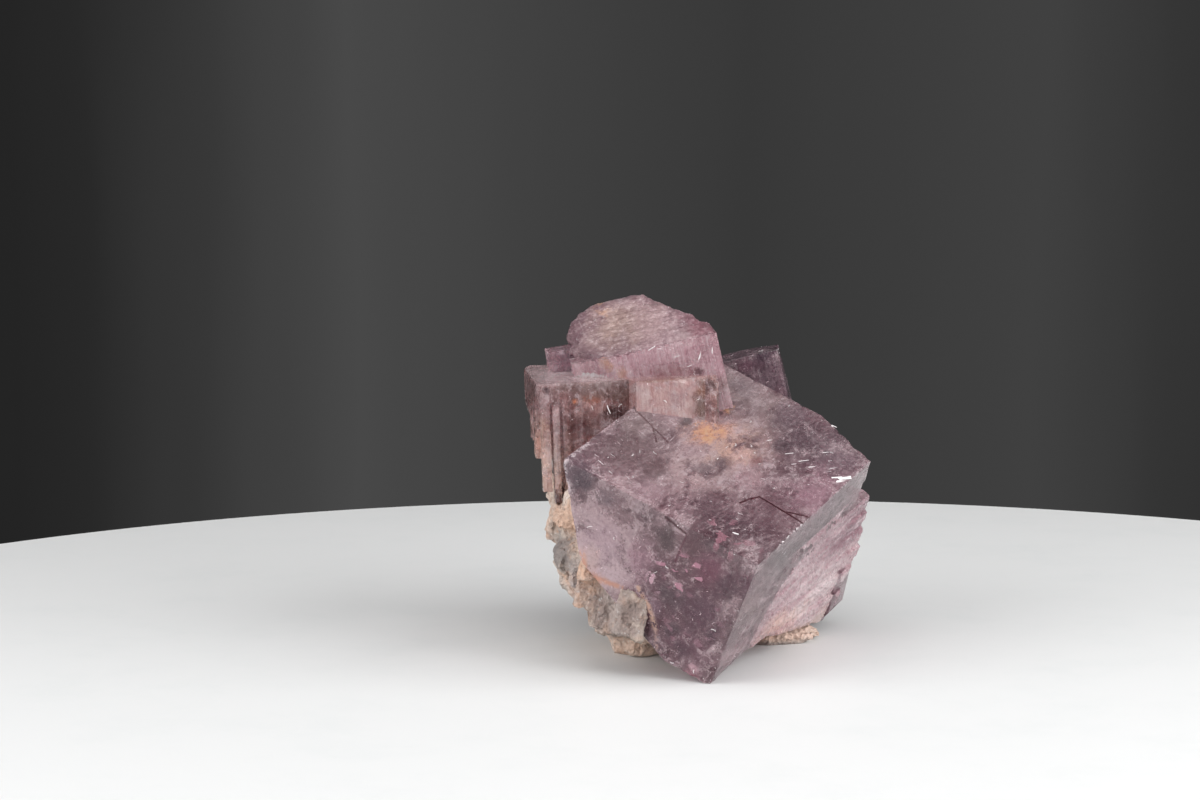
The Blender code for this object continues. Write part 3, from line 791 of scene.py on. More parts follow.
        pale=(0.80, 0.70, 0.71),
        cloud_strength=0.55,
        cloud_scale=0.22,
        lines=(0.4, 0.07, 1.1),
        line_depth=0.24,
        line_tone=0.65,
        roughness=0.16,
        transmission=0.50,
        zones=(
            Zone((2.0, 30.0, -28.0), (8.0, 20.0, 4.0), CREAM, 0.7),
            Zone((2.5, 19.0, -21.5), (5.0, 15.0, 4.6), (0.88, 0.60, 0.50), 0.85, 0.7),
            Zone((1.6, 46.0, -10.0), (4.0, 18.0, 7.0), (0.29, 0.17, 0.21), 0.95),
            Zone((0.0, 26.0, -16.0), (1.3, 60.0, 40.0), (0.46, 0.33, 0.36), 0.8, 0.15),
            Zone((0.4, 8.0, -14.0), (1.6, 9.0, 7.0), (0.34, 0.24, 0.26), 0.6),
        ),
    ),
    Crystal.LEFT: FluoriteFinish(
        name="fluorite_left",
        corner=(-24.7, 3.0, 42.2),
        turn=(0.0, -2.0, 6.0),
        dark=(0.140, 0.052, 0.052),
        middle=(0.36, 0.165, 0.160),
        pale=(0.70, 0.45, 0.43),
        gain=1.32,
        cloud_scale=0.18,
        lines=(1.6, 1.2, 0.08),
        line_depth=0.26,
        line_tone=0.34,
        roughness=0.16,
        zones=(
            Zone((8.3, 0.0, -2.6), (1.9, 3.0, 1.2), (0.66, 0.25, 0.14), 0.75, 0.9),
            # Painted sheen: the top face is painted nearly white.
            Zone((8.0, 12.0, 0.9), (20.0, 20.0, 1.3), (0.97, 0.86, 0.88), 1.0, 0.1),
            Zone((12.0, -0.2, -1.5), (20.0, 1.6, 1.5), (0.24, 0.150, 0.140), 0.85, 0.3),
            Zone((0.6, 4.0, -15.0), (6.0, 14.0, 9.0), (0.80, 0.64, 0.57), 0.95),
            Zone((-0.5, 3.0, -9.0), (2.2, 8.0, 2.2), PEACH, 0.7),
            Zone((1.2, 0.0, -4.0), (2.8, 6.0, 6.0), (0.58, 0.40, 0.41), 0.75),
            Zone((13.0, 0.0, -5.6), (5.0, 4.0, 3.0), BROWN, 0.6),
        ),
        windows=(
            Zone((6.0, 0.0, -3.0), (0.6, 2.0, 0.6), (0.74, 0.27, 0.12), 0.85),
            Zone((4.5, 0.0, -2.0), (1.5, 2.0, 0.9), (0.40, 0.21, 0.21), 0.7),
            Zone((14.0, 0.0, -2.5), (2.5, 2.0, 1.0), (0.24, 0.13, 0.11), 0.8),
            Zone((12.0, 0.0, -5.0), (2.0, 2.0, 1.0), (0.11, 0.04, 0.04), 0.85),
            Zone((7.0, 0.0, -6.5), (3.0, 2.0, 2.5), (0.17, 0.07, 0.07), 0.75, 0.6),
            Zone((4.0, 0.0, -9.0), (0.9, 2.0, 1.0), (0.58, 0.40, 0.40), 0.75),
            Zone((1.5, 0.0, -1.0), (0.6, 2.0, 0.6), (0.13, 0.09, 0.11), 0.8, 0.4),
            Zone((1.0, 0.0, -7.0), (0.8, 2.0, 1.5), (0.70, 0.42, 0.32), 0.8, 0.8),
            Zone((2.0, 0.0, -11.5), (1.0, 2.0, 2.0), (0.80, 0.68, 0.65), 0.8, 0.6),
            Zone((2.0, 0.0, -15.0), (1.5, 2.0, 1.5), (0.66, 0.50, 0.45), 0.7, 0.7),
            Zone((10.0, 0.0, -0.5), (5.5, 2.0, 0.7), (0.34, 0.25, 0.25), 0.7, 0.3),
            Zone((3.0, 0.0, -6.5), (0.5, 2.0, 2.5), (0.52, 0.44, 0.43), 0.6, 0.3),
            Zone((0.0, 12.0, -1.5), (2.0, 14.0, 4.0), (0.26, 0.18, 0.18), 0.6, 0.6),
            Zone((0.0, -3.5, -8.0), (2.0, 9.5, 3.0), (0.66, 0.52, 0.47), 0.7, 0.7),
            # More painted sheen on the top face, laid over the patches below.
            Zone((6.0, 12.0, 0.5), (16.0, 20.0, 0.8), (0.97, 0.83, 0.85), 0.6, 0.35),
        ),
    ),
    Crystal.STEP: FluoriteFinish(
        name="fluorite_step",
        corner=(-9.1, 1.6, 42.8),
        turn=(0.0, -1.5, 21.0),
        dark=(0.48, 0.24, 0.24),
        middle=(0.76, 0.47, 0.46),
        pale=(0.90, 0.68, 0.66),
        gain=0.96,
        cloud_scale=0.20,
        lines=(0.9, 0.9, 0.12),
        line_depth=0.2,
        line_tone=0.3,
        transmission=0.60,
        zones=(
            Zone((12.0, 0.0, -4.6), (3.4, 3.0, 2.8), (0.15, 0.075, 0.060), 0.9),
            Zone((11.6, 0.0, -2.2), (1.4, 3.0, 1.2), (0.50, 0.22, 0.12), 0.6),
        ),
        windows=(
            Zone((4.5, 0.0, -3.0), (2.0, 2.0, 2.0), (0.84, 0.58, 0.56), 0.7),
            Zone((1.5, 0.0, -2.5), (1.0, 2.0, 2.0), (0.90, 0.72, 0.70), 0.7, 0.6),
            Zone((7.5, 0.0, -3.0), (1.0, 2.0, 1.5), (0.62, 0.40, 0.42), 0.6),
            Zone((11.5, 0.0, -5.0), (1.5, 2.0, 1.5), (0.28, 0.14, 0.10), 0.85, 0.7),
            Zone((13.0, 0.0, -6.0), (0.9, 2.0, 1.5), (0.11, 0.06, 0.04), 0.85),
            Zone((12.0, 0.0, -1.0), (2.0, 2.0, 0.8), (0.32, 0.17, 0.14), 0.8),
            Zone((4.5, 0.0, 0.0), (4.5, 2.0, 0.5), (0.60, 0.36, 0.31), 0.7, 0.3),
        ),
    ),
    Crystal.TOP: FluoriteFinish(
        name="fluorite_top",
        corner=TOP_AXES[0],
        turn=TOP_AXES[1],
        dark=(0.42, 0.23, 0.27),
        middle=(0.64, 0.42, 0.465),
        pale=(0.82, 0.62, 0.65),
        cloud_strength=0.7,
        cloud_scale=0.16,
        lines=(1.5, 1.5, 0.07),
        line_depth=0.24,
        line_tone=0.40,
        roughness=0.16,
        zones=(
            Zone((-18.5, 2.0, 2.0), (3.2, 6.0, 2.6), (0.66, 0.44, 0.38), 0.7),
            Zone((-23.5, 12.5, 8.0), (4.0, 4.5, 4.5), (0.42, 0.33, 0.38), 0.8),
            Zone((-9.0, 0.0, 4.0), (5.0, 5.0, 3.0), (0.42, 0.24, 0.28), 0.5),
            Zone((-4.0, 0.0, 0.4), (6.0, 5.0, 1.2), (0.56, 0.43, 0.43), 0.6),
            # A dark band along the lowest edge, partly brown and partly painted shadow where the crystal
            # sits on those below.
            Zone((-10.0, 0.0, -0.6), (16.0, 4.0, 0.9), (0.30, 0.155, 0.160), 0.8, 0.3),
        ),
        windows=(
            Zone((-18.0, 0.0, 7.5), (1.0, 3.0, 1.5), (0.70, 0.43, 0.32), 0.75, 0.8),
            Zone((-16.0, 0.0, 5.5), (0.8, 3.0, 1.0), (0.64, 0.37, 0.28), 0.7, 0.8),
            Zone((-21.0, 0.0, 8.0), (1.5, 3.0, 1.5), (0.62, 0.44, 0.46), 0.6, 0.6),
            Zone((-9.0, 0.0, 3.5), (4.0, 3.0, 1.5), (0.42, 0.22, 0.23), 0.6, 1.4),
            Zone((-11.0, 0.0, 7.0), (3.5, 3.0, 1.5), (0.66, 0.44, 0.49), 0.5),
            Zone((-1.0, 0.0, 4.0), (1.5, 3.0, 2.5), (0.60, 0.39, 0.44), 0.6),
            Zone((-4.0, 0.0, 3.0), (0.8, 3.0, 0.5), (0.15, 0.05, 0.07), 0.8, 0.6),
            # A painted glint: a small near-white highlight at the top of the front face.
            Zone((-12.0, 0.0, 9.0), (2.0, 3.0, 0.6), (0.90, 0.80, 0.82), 0.7, 0.9),
        ),
    ),
    Crystal.CRUST: FluoriteFinish(
        name="fluorite_crust",
        corner=TOP_AXES[0],
        turn=TOP_AXES[1],
        dark=(0.22, 0.130, 0.155),
        middle=(0.33, 0.225, 0.245),
        pale=(0.45, 0.335, 0.345),
        gain=1.15,
        cloud_scale=0.22,
        roughness=0.30,
        transmission=0.40,
        cloud_strength=0.35,
        zones=(
            Zone((-13.0, 8.0, 12.0), (7.0, 9.0, 4.0), (0.50, 0.38, 0.33), 0.6),
            Zone((-15.0, 19.0, 14.0), (7.0, 4.0, 2.5), (0.26, 0.165, 0.20), 0.75),
            Zone((-3.0, 12.0, 11.0), (4.0, 8.0, 3.0), (0.50, 0.33, 0.37), 0.6),
        ),
        windows=(
            Zone((-12.0, 20.0, 14.0), (3.0, 4.0, 1.5), (0.20, 0.15, 0.17), 0.85, 0.7),
            Zone((-2.0, 14.0, 9.5), (2.5, 9.0, 1.5), (0.36, 0.20, 0.25), 0.7),
            Zone((-16.0, 27.5, 11.0), (3.0, 16.0, 6.0), (0.62, 0.47, 0.41), 0.75, 0.6),
            Zone((-16.5, 18.0, 10.0), (1.0, 7.0, 6.0), (0.68, 0.44, 0.33), 0.7, 0.8),
            Zone((-20.0, 32.5, 10.0), (2.5, 15.5, 6.0), (0.58, 0.48, 0.48), 0.65, 0.6),
            Zone((-9.0, 5.5, 10.5), (3.5, 15.5, 6.0), (0.52, 0.38, 0.40), 0.6, 0.6),
            Zone((-2.0, 3.0, 9.5), (2.5, 9.0, 6.0), (0.33, 0.17, 0.20), 0.8),
        ),
    ),
    Crystal.BACK: FluoriteFinish(
        name="fluorite_back",
        corner=(14.2, 25.0, 45.1),
        turn=(0.0, -13.5, -4.0),
        dark=(0.085, 0.042, 0.066),
        middle=(0.155, 0.085, 0.118),
        pale=(0.36, 0.24, 0.28),
        gain=1.36,
        cloud_strength=0.6,
        cloud_scale=0.15,
        lines=(1.0, 0.4, 0.10),
        line_depth=0.2,
        line_tone=0.2,
        zones=(Zone((-10.0, 0.0, -4.0), (5.0, 6.0, 6.0), (0.31, 0.24, 0.25), 0.7),),
        windows=(
            Zone((-2.5, 0.0, -0.5), (2.0, 3.0, 1.0), (0.08, 0.04, 0.07), 0.8, 0.6),
            Zone((-5.5, 0.0, -1.5), (2.0, 3.0, 1.0), (0.22, 0.10, 0.15), 0.7),
            Zone((-3.0, 0.0, -5.5), (1.5, 3.0, 2.0), (0.32, 0.23, 0.27), 0.7, 0.6),
        ),
    ),
    Crystal.FAR: FluoriteFinish(
        name="fluorite_far",
        corner=(0.0, 28.0, 30.0),
        turn=(12.0, 20.0, 10.0),
        dark=PLUM,
        middle=MAUVE,
        pale=LILAC,
        cloud_scale=0.13,
        lines=(0.2, 0.2, 0.9),
        line_depth=0.15,
        line_tone=0.2,
    ),
}


@dataclass(frozen=True)
class RockFinish:
    """Pale rock: cream and peach with grey parts, grains and rust stains."""

    name: str = "rock_matrix_stone"
    cream: Colour = ROCK_CREAM
    peach: Colour = ROCK_PEACH
    grey: Colour = (0.20, 0.19, 0.18)
    white: Colour = (0.74, 0.70, 0.69)
    pit: Colour = (0.20, 0.15, 0.14)
    rust: Colour = (0.50, 0.25, 0.14)
    zones: tuple[Zone, ...] = (
        Zone((-20.5, 4.0, 26.0), (8.0, 14.0, 7.0), ROCK_CREAM, 0.9),
        Zone((-19.5, 1.0, 21.0), (6.0, 9.0, 3.0), ROCK_PEACH, 0.8, 0.8),
        Zone((-20.5, -3.0, 16.0), (4.2, 9.0, 3.6), (0.20, 0.175, 0.170), 0.9),
        Zone((-17.6, -7.0, 12.0), (3.4, 8.0, 4.2), (0.50, 0.44, 0.44), 0.85),
        Zone((-12.0, -17.0, 10.0), (7.5, 10.0, 5.2), (0.23, 0.170, 0.155), 0.92),
        Zone((-12.6, -15.0, 10.0), (1.4, 10.0, 4.6), (0.46, 0.38, 0.35), 0.8, 0.9),
        Zone((-9.6, -14.0, 5.6), (5.2, 10.0, 1.3), (0.15, 0.135, 0.085), 0.9, 0.3),
        Zone((-10.0, -9.0, 1.6), (8.0, 9.0, 2.8), (0.86, 0.60, 0.46), 0.95),
        Zone((14.0, 8.0, 3.4), (9.0, 9.0, 3.8), (0.78, 0.55, 0.45), 0.95),
        Zone((10.0, 4.0, 4.4), (3.6, 7.0, 1.6), (0.74, 0.44, 0.27), 0.8, 0.8),
        Zone((12.0, 6.0, 0.0), (8.0, 8.0, 0.7), (0.24, 0.21, 0.20), 0.8),
    )
    waves: Cloud = Cloud(0.25, 5.0, 0.65, 0.5)
    broad: Cloud = Cloud(0.10, 5.0, 0.6, 0.4)
    flecks: Cloud = Cloud(1.6, 4.0, 0.7)
    stains: Cloud = Cloud(0.55, 5.0, 0.7, 0.6)
    shine: Cloud = Cloud(0.8, 4.0, 0.6)
    lumps: Cloud = Cloud(0.8, 6.0, 0.65)
    lump_depth: float = 0.9
    pits: float = 1.1  # per millimetre
    grains: float = 1.4  # per millimetre
    grain_depth: float = 0.35

    def body(self, sketch: Sketch, at: bpy.types.NodeSocket) -> bpy.types.NodeSocket:
        """The rock's colour.

        Args:
            sketch: The tree to draw in.
            at: The point in the layout's axes.

        Returns:
            The colour output.
        """
        wander = sketch.wander(at, self.waves)
        colour = sketch.ramp(
            sketch.noise(at, self.broad),
            (0.36, self.grey),
            (0.46, self.cream),
            (0.56, self.peach),
            (0.66, self.cream),
        )
        for zone in self.zones:
            colour = zone.tint(sketch, at, wander, colour)
        pits = sketch.math("MULTIPLY", sketch.cells(at, self.pits), 0.28)
        colour = sketch.mix(pits, colour, self.pit)
        flecks = sketch.share(sketch.noise(at, self.flecks), 0.58, 0.70, 0.6)
        colour = sketch.mix(flecks, colour, self.white)
        stains = sketch.share(sketch.noise(at, self.stains), 0.60, 0.70, 0.40)
        return sketch.mix(stains, colour, self.rust)

    def build(self) -> bpy.types.Material:
        """Makes the material.

        Returns:
            The material.
        """
        material, sketch, shader = fresh_material(self.name)
        at = sketch.place()
        sketch.put(shader.inputs["Base Color"], self.body(sketch, at))
        shine = sketch.smooth(sketch.noise(at, self.shine), 0.40, 0.65)
        sketch.put(shader.inputs["Roughness"], sketch.math("MULTIPLY_ADD", shine, -0.35, 0.75))
        normal = sketch.bump(sketch.noise(at, self.lumps), self.lump_depth)
        normal = sketch.bump(sketch.cells(at, self.grains), self.grain_depth, 1.0, normal)
        sketch.put(shader.inputs["Normal"], normal)
        return material


@dataclass(frozen=True)
class SplinterFinish:
    """Plain pale fluorite of small chips and nicks, slightly mottled."""

    name: str
    colour: Colour
    roughness: float = 0.3
    mottling: Cloud = Cloud(2.0)
    dimmest: float = 0.7  # of the colour

    def build(self) -> bpy.types.Material:
        """Makes the material.

        Returns:
            The material.
        """
        material, sketch, shader = fresh_material(self.name)
        mottling = sketch.noise(sketch.place(), self.mottling)
        dim = tuple(c * self.dimmest for c in self.colour)
        sketch.put(shader.inputs["Base Color"], sketch.mix(mottling, dim, self.colour))
        shader.inputs["Roughness"].default_value = self.roughness
        return material


def object_from(bm: bmesh.types.BMesh, name: str) -> bpy.types.Object:
    """A mesh object in metres, made from a bmesh in millimetres.

    Args:
        bm: The bmesh, which is freed.
        name: The object's name.

    Returns:
        The object, linked to the scene.
    """
    bmesh.ops.scale(bm, vec=(MM, MM, MM), verts=bm.verts)
    mesh = bpy.data.meshes.new(name)
    bm.to_mesh(mesh)
    bm.free()
    made = bpy.data.objects.new(name, mesh)
    bpy.context.scene.collection.objects.link(made)
    return made


def bmesh_of(mesh: bpy.types.Mesh) -> bmesh.types.BMesh:
    """A bmesh in millimetres, made from a mesh in metres.

    Args:
        mesh: The mesh, which stays as it is.

    Returns:
        The bmesh.
    """
    bm = bmesh.new()
    bm.from_mesh(mesh)
    bmesh.ops.scale(bm, vec=(1 / MM, 1 / MM, 1 / MM), verts=bm.verts)
    return bm


def plain_mesh(carrier: bpy.types.Object) -> bpy.types.Mesh:
    """A plain mesh of what an object's modifiers make.

    Args:
        carrier: The object with the modifiers, which is removed.

    Returns:
        The mesh.
    """
    bpy.context.view_layer.update()
    evaluated = carrier.evaluated_get(bpy.context.evaluated_depsgraph_get())
    mesh = bpy.data.meshes.new_from_object(evaluated)
    bpy.data.objects.remove(carrier)
    return mesh


def smooth_verts(bm: bmesh.types.BMesh, verts: list[bmesh.types.BMVert], rounds: int) -> None:
    """Smooths a part of a surface.

    Args:
        bm: The bmesh.
        verts: The part's vertices.
        rounds: How often they are smoothed.
    """
    for _ in range(rounds):
        bmesh.ops.smooth_vert(
            bm, verts=verts, factor=0.5, use_axis_x=True, use_axis_y=True, use_axis_z=True
        )
    bm.normal_update()


def add_share(mesh: bpy.types.Mesh, name: str, values: np.ndarray) -> None:
    """Adds an attribute that says how thickly something is strewn.

    Args:
        mesh: The surface.
        name: The attribute's name.
        values: Its value at each vertex, from 0 to 1 or a little above.
    """
    layer = mesh.attributes.new(name, "FLOAT", "POINT")
    layer.data.foreach_set("value", values.astype(np.float32))


@dataclass
class CrystalCluster:
    """The grown-together crystals, with chipped edges and a rough crust on the top one."""

    weld: float = 0.002
    flat_angle: float = math.radians(0.4)
    edge_length: float = 0.62
    longest: float = 1.4  # edge lengths, above which an edge is split
    rounds: int = 8
    edge_step: float = 0.35
    sharp_angle: float = math.radians(18.0)
    # The growth layers on the top crystal: ridges and grains per millimetre, and their heights.
    crust_rounds: int = 22
    crust_stretch: Triple = (0.45, 1.0, 1.6)
    crust_ridges: float = 0.9
    crust_height: float = 0.24
    crust_grains: float = 2.4
    grain_height: float = 0.12
    rib_rounds: int = 8
    rib_ridges: float = 0.8
    rib_height: float = 0.30
    ridge_middle: float = 0.45
    # The part of the main crystal's right side where the ribs begin, in its own axes.
    border_low: Triple = (-0.25, 2.5, -26.0)
    border_high: Triple = (1.9, 50.0, -4.5)
    border_rounds: int = 30
    # Chips along the edges, large where a broad noise and a fine one are both high.
    chip_reach: float = 0.75
    chip_depth: float = 0.55
    chip_patches: float = 0.23  # per millimetre
    chip_sizes: float = 1.1  # per millimetre
    softening: float = 0.07
    # How far from an edge the strewn chips reach, and where the nicks of the faces begin.
    strewn_reach: float = 1.2
    nick_start: float = 0.8
    strewn_patches: float = 0.35  # per millimetre

    def divided(self, bm: bmesh.types.BMesh) -> None:
        """Splits the long edges again and again, until the faces are small.

        Args:
            bm: The cluster's mesh.
        """
        bmesh.ops.dissolve_limit(bm, angle_limit=self.flat_angle, verts=bm.verts, edges=bm.edges)
        bmesh.ops.triangulate(bm, faces=bm.faces)
        for _ in range(self.rounds):
            long = [e for e in bm.edges if e.calc_length() > self.edge_length * self.longest]
            if not long:
                break
            bmesh.ops.subdivide_edges(bm, edges=long, cuts=1, use_grid_fill=False)
            bmesh.ops.triangulate(bm, faces=[f for f in bm.faces if len(f.verts) > 3])

    def sharp_points(self, bm: bmesh.types.BMesh) -> KDTree:
        """Points along every outward edge between two flat faces.

        Args:
            bm: The cluster's mesh.

        Returns:
            The points, ready to be searched.
        """
        points = []
        for edge in bm.edges:
            if len(edge.link_faces) == 2 and edge.calc_face_angle_signed(0.0) > self.sharp_angle:
                a, b = (v.co for v in edge.verts)
                steps = max(1, int((b - a).length / self.edge_step))
                points += [a.lerp(b, i / steps) for i in range(steps + 1)]
        tree = KDTree(len(points))
        for i, point in enumerate(points):
            tree.insert(point, i)
        tree.balance()
        return tree

    def owners(self, points: np.ndarray) -> np.ndarray:
        """Which crystal each point belongs to, as an index into Crystal."""
        costs = [np.min([b.misfit(points) for b in BLOCKS[kind]], axis=0) for kind in Crystal]
        return np.argmin(np.array(costs), axis=0)

    def smoothed(self, bm: bmesh.types.BMesh, owner: np.ndarray, kind: Crystal,
                 rounds: int) -> list[bmesh.types.BMVert]:
        """Softens the steps of one crystal's surface.

        Args:
            bm: The cluster's mesh.
            owner: The crystal of each vertex, as an index into Crystal.
            kind: The crystal to soften.
            rounds: How often to smooth.

        Returns:
            That crystal's vertices.
        """
        index = list(Crystal).index(kind)
        chosen = [v for v in bm.verts if owner[v.index] == index]
        smooth_verts(bm, chosen, rounds)
        return chosen

    def ease_border(self, bm: bmesh.types.BMesh) -> None:
        """Lets the low ribs run softly out into the smooth strip beside them.

        Args:
            bm: The cluster's mesh.
        """
        back = BLOCKS[Crystal.MAIN][0].axes().inverted()
        low, high = Vector(self.border_low), Vector(self.border_high)
        chosen = []
        for vert in bm.verts:
            own = back @ vert.co
            if all(low[i] < own[i] < high[i] for i in range(3)):
                chosen.append(vert)
        smooth_verts(bm, chosen, self.border_rounds)

    def roughen(self, bm: bmesh.types.BMesh, owner: np.ndarray) -> None:
        """Breaks up the growth layers on the top crystal and the ribs on the main one.

        Args:
            bm: The cluster's mesh.
            owner: The crystal of each vertex, as an index into Crystal.
        """
        stretch = Vector(self.crust_stretch)
        for vert in self.smoothed(bm, owner, Crystal.CRUST, self.crust_rounds):
            ridged = noise.turbulence(vert.co * stretch * self.crust_ridges, 4, True)
            fine = noise.noise(vert.co * self.crust_grains)
            lift = (ridged - self.ridge_middle) * self.crust_height + fine * self.grain_height
            vert.co += vert.normal * lift
        self.ease_border(bm)
        for vert in self.smoothed(bm, owner, Crystal.RIBS, self.rib_rounds):
            ridged = noise.turbulence(vert.co * self.rib_ridges, 3, True)
            vert.co += vert.normal * (ridged - self.ridge_middle) * self.rib_height

    def chip(self, bm: bmesh.types.BMesh, sharp: KDTree) -> None:
        """Breaks small chips from the edges and softens them a little.

        Args:
            bm: The cluster's mesh.
            sharp: Points along the sharp edges.
        """
        for vert in bm.verts:
            near = sharp.find(vert.co)[2]
            if near > self.chip_reach:
                continue
            fade = 1 - near / self.chip_reach
            broad = noise.noise(vert.co * self.chip_patches)
            fine = noise.noise(vert.co * self.chip_sizes + Vector((7.0, 3.0, 1.0)))
            chip = max(0.0, broad * 0.9 + fine * 0.8 - 0.22)
            vert.co -= vert.normal * fade * (chip * self.chip_depth * 1.6 + self.softening)

    def add_shares(self, mesh: bpy.types.Mesh, sharp: KDTree) -> None:
        """Adds the attributes that say where chips and nicks lie.

        Args:
            mesh: The cluster's mesh, in metres.
            sharp: Points along the sharp edges, in millimetres.
        """
        places = [v.co / MM for v in mesh.vertices]
        near = np.array([sharp.find(p)[2] for p in places])
        patchy = np.array([noise.noise(p * self.strewn_patches) for p in places])
        edge = np.clip(self.strewn_reach - near, 0, 1) * np.clip(patchy * 4.0, 0, 1)
        nick = np.clip(0.35 + patchy * 1.6, 0, 1) * np.clip(near - self.nick_start, 0, 1)
        add_share(mesh, "edge_share", edge)
        add_share(mesh, "nick_share", nick)

    def build(self) -> bpy.types.Object:
        """Makes the finished piece.

        Returns:
            The cluster's object, which stands for the CAD node.
        """
        bm = bmesh_of(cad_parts["fluorite_crystals"].data)
        bmesh.ops.remove_doubles(bm, verts=bm.verts, dist=self.weld)
        self.divided(bm)
        bm.normal_update()
        bm.verts.index_update()
        sharp = self.sharp_points(bm)
        owner = self.owners(np.array([v.co[:] for v in bm.verts]))
        self.roughen(bm, owner)
        self.chip(bm, sharp)
        bm.normal_update()
        middles = np.array([f.calc_center_median()[:] for f in bm.faces])
        for face, kind in zip(bm.faces, self.owners(middles)):
            face.material_index = int(kind)
        made = object_from(bm, "crystal_cluster")
        self.add_shares(made.data, sharp)
        for kind in Crystal:
            made.data.materials.append(FLUORITE_FINISHES[kind].build())
        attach(made, "root")
        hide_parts("fluorite_crystals")
        return made


class Grain(Enum):
    """The small shapes that are strewn over a surface."""

    SHARD = "shard"
    ARC = "arc"


@dataclass(frozen=True)
class Scatter:
    """Small pieces strewn over a surface by Geometry Nodes, as thickly as a surface attribute says."""

    name: str
    grain: Grain
    share: str  # the surface's attribute
    per_square_mm: float
    least: Triple
    most: Triple
    tilt: float  # degrees
    seed: int

    def shape(self, sketch: Sketch) -> bpy.types.NodeSocket:
        """The unit shape of one piece.

        Args:
            sketch: The tree to draw in.

        Returns:
            The mesh output.
        """
        if self.grain is Grain.SHARD:
            size = {"Vertices": 4, "Radius Top": 0.18, "Radius Bottom": 0.5, "Depth": 1.0}
            return sketch.node("GeometryNodeMeshCone", size).outputs["Mesh"]
        bend = {"Resolution": 5, "Radius": 0.7, "Start Angle": -0.45, "Sweep Angle": 0.9}
        ring = sketch.node("GeometryNodeCurvePrimitiveCircle", {"Resolution": 3, "Radius": 0.045})
        sweep = {
            "Curve": sketch.node("GeometryNodeCurveArc", bend).outputs["Curve"],
            "Profile Curve": ring.outputs["Curve"],
            "Fill Caps": True,
        }
        return sketch.node("GeometryNodeCurveToMesh", sweep).outputs["Mesh"]

    def lean(self, sketch: Sketch, tilt: bpy.types.NodeSocket) -> bpy.types.NodeSocket:
        """A random turn about the upright and a random tilt.

        Args:
            sketch: The tree to draw in.
            tilt: The most that a piece is tilted.

        Returns:
            The rotation output.
        """
        back = sketch.math("MULTIPLY", tilt, -1.0)
        lowest = sketch.node("ShaderNodeCombineXYZ", {"X": back, "Y": back})
        highest = sketch.node("ShaderNodeCombineXYZ", {"X": tilt, "Y": tilt, "Z": math.tau})
        ends = {"Min": lowest.outputs[0], "Max": highest.outputs[0]}
        lean = sketch.node("FunctionNodeRandomValue", ends, data_type="FLOAT_VECTOR")
        return sketch.node("FunctionNodeEulerToRotation", {0: lean.outputs["Value"]}).outputs[0]

    def tree(self, material: bpy.types.Material) -> bpy.types.NodeTree:
        """The Geometry Nodes tree.

        Args:
            material: The material of the pieces.

        Returns:
            The tree, with named inputs for amount, sizes, tilt and seed.
        """
        tree = bpy.data.node_groups.new(self.name, "GeometryNodeTree")
        sketch = Sketch(tree)
        face = tree.interface
        face.new_socket("Geometry", in_out="INPUT", socket_type="NodeSocketGeometry")
        kinds = {"Amount": "Float", "Least": "Vector", "Most": "Vector", "Tilt": "Float", "Seed": "Int"}
        for name, kind in kinds.items():
            face.new_socket(name, in_out="INPUT", socket_type=f"NodeSocket{kind}")
        face.new_socket("Geometry", in_out="OUTPUT", socket_type="NodeSocketGeometry")
        given = sketch.node("NodeGroupInput").outputs
        share = sketch.node("GeometryNodeInputNamedAttribute", {"Name": self.share}, data_type="FLOAT")
        density = sketch.math("MULTIPLY", share.outputs["Attribute"], given["Amount"])
        amount = {"Mesh": given["Geometry"], "Density": density, "Seed": given["Seed"]}
        spread = sketch.node("GeometryNodeDistributePointsOnFaces", amount).outputs
        sizes = {"Min": given["Least"], "Max": given["Most"], "Seed": given["Seed"]}
        size = sketch.node("FunctionNodeRandomValue", sizes, data_type="FLOAT_VECTOR")
        turns = {0: spread["Rotation"], 1: self.lean(sketch, given["Tilt"])}
        turned = sketch.node("FunctionNodeRotateRotation", turns, rotation_space="LOCAL")
        placing = {
            "Points": spread["Points"],
            "Instance": self.shape(sketch),
            "Rotation": turned.outputs[0],
            "Scale": size.outputs["Value"],
        }
        strewn = sketch.node("GeometryNodeInstanceOnPoints", placing)
        real = sketch.node("GeometryNodeRealizeInstances", {0: strewn.outputs[0]})
        dressing = {"Geometry": real.outputs[0], "Material": material}
        dressed = sketch.node("GeometryNodeSetMaterial", dressing)
        sketch.node("NodeGroupOutput", {0: dressed.outputs[0]})
        return tree

    def strew(self, surface: bpy.types.Object, material: bpy.types.Material) -> bpy.types.Object:
        """Strews the pieces and turns them into one plain mesh.

        Args:
            surface: The object to strew over, in metres.
            material: The pieces' material.

        Returns:
            The new piece.
        """
        carrier = bpy.data.objects.new(f"{self.name}_carrier", surface.data)
        bpy.context.scene.collection.objects.link(carrier)
        modifier = carrier.modifiers.new(self.name, "NODES")
        modifier.node_group = self.tree(material)
        values = {
            "Amount": self.per_square_mm / MM**2,
            "Least": [v * MM for v in self.least],
            "Most": [v * MM for v in self.most],
            "Tilt": math.radians(self.tilt),
            "Seed": self.seed,
        }
        for item in modifier.node_group.interface.items_tree:
            if item.in_out == "INPUT" and item.name in values:
                modifier[item.identifier] = values[item.name]
        made = bpy.data.objects.new(self.name, plain_mesh(carrier))
        bpy.context.scene.collection.objects.link(made)
        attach(made, "root")
        return made


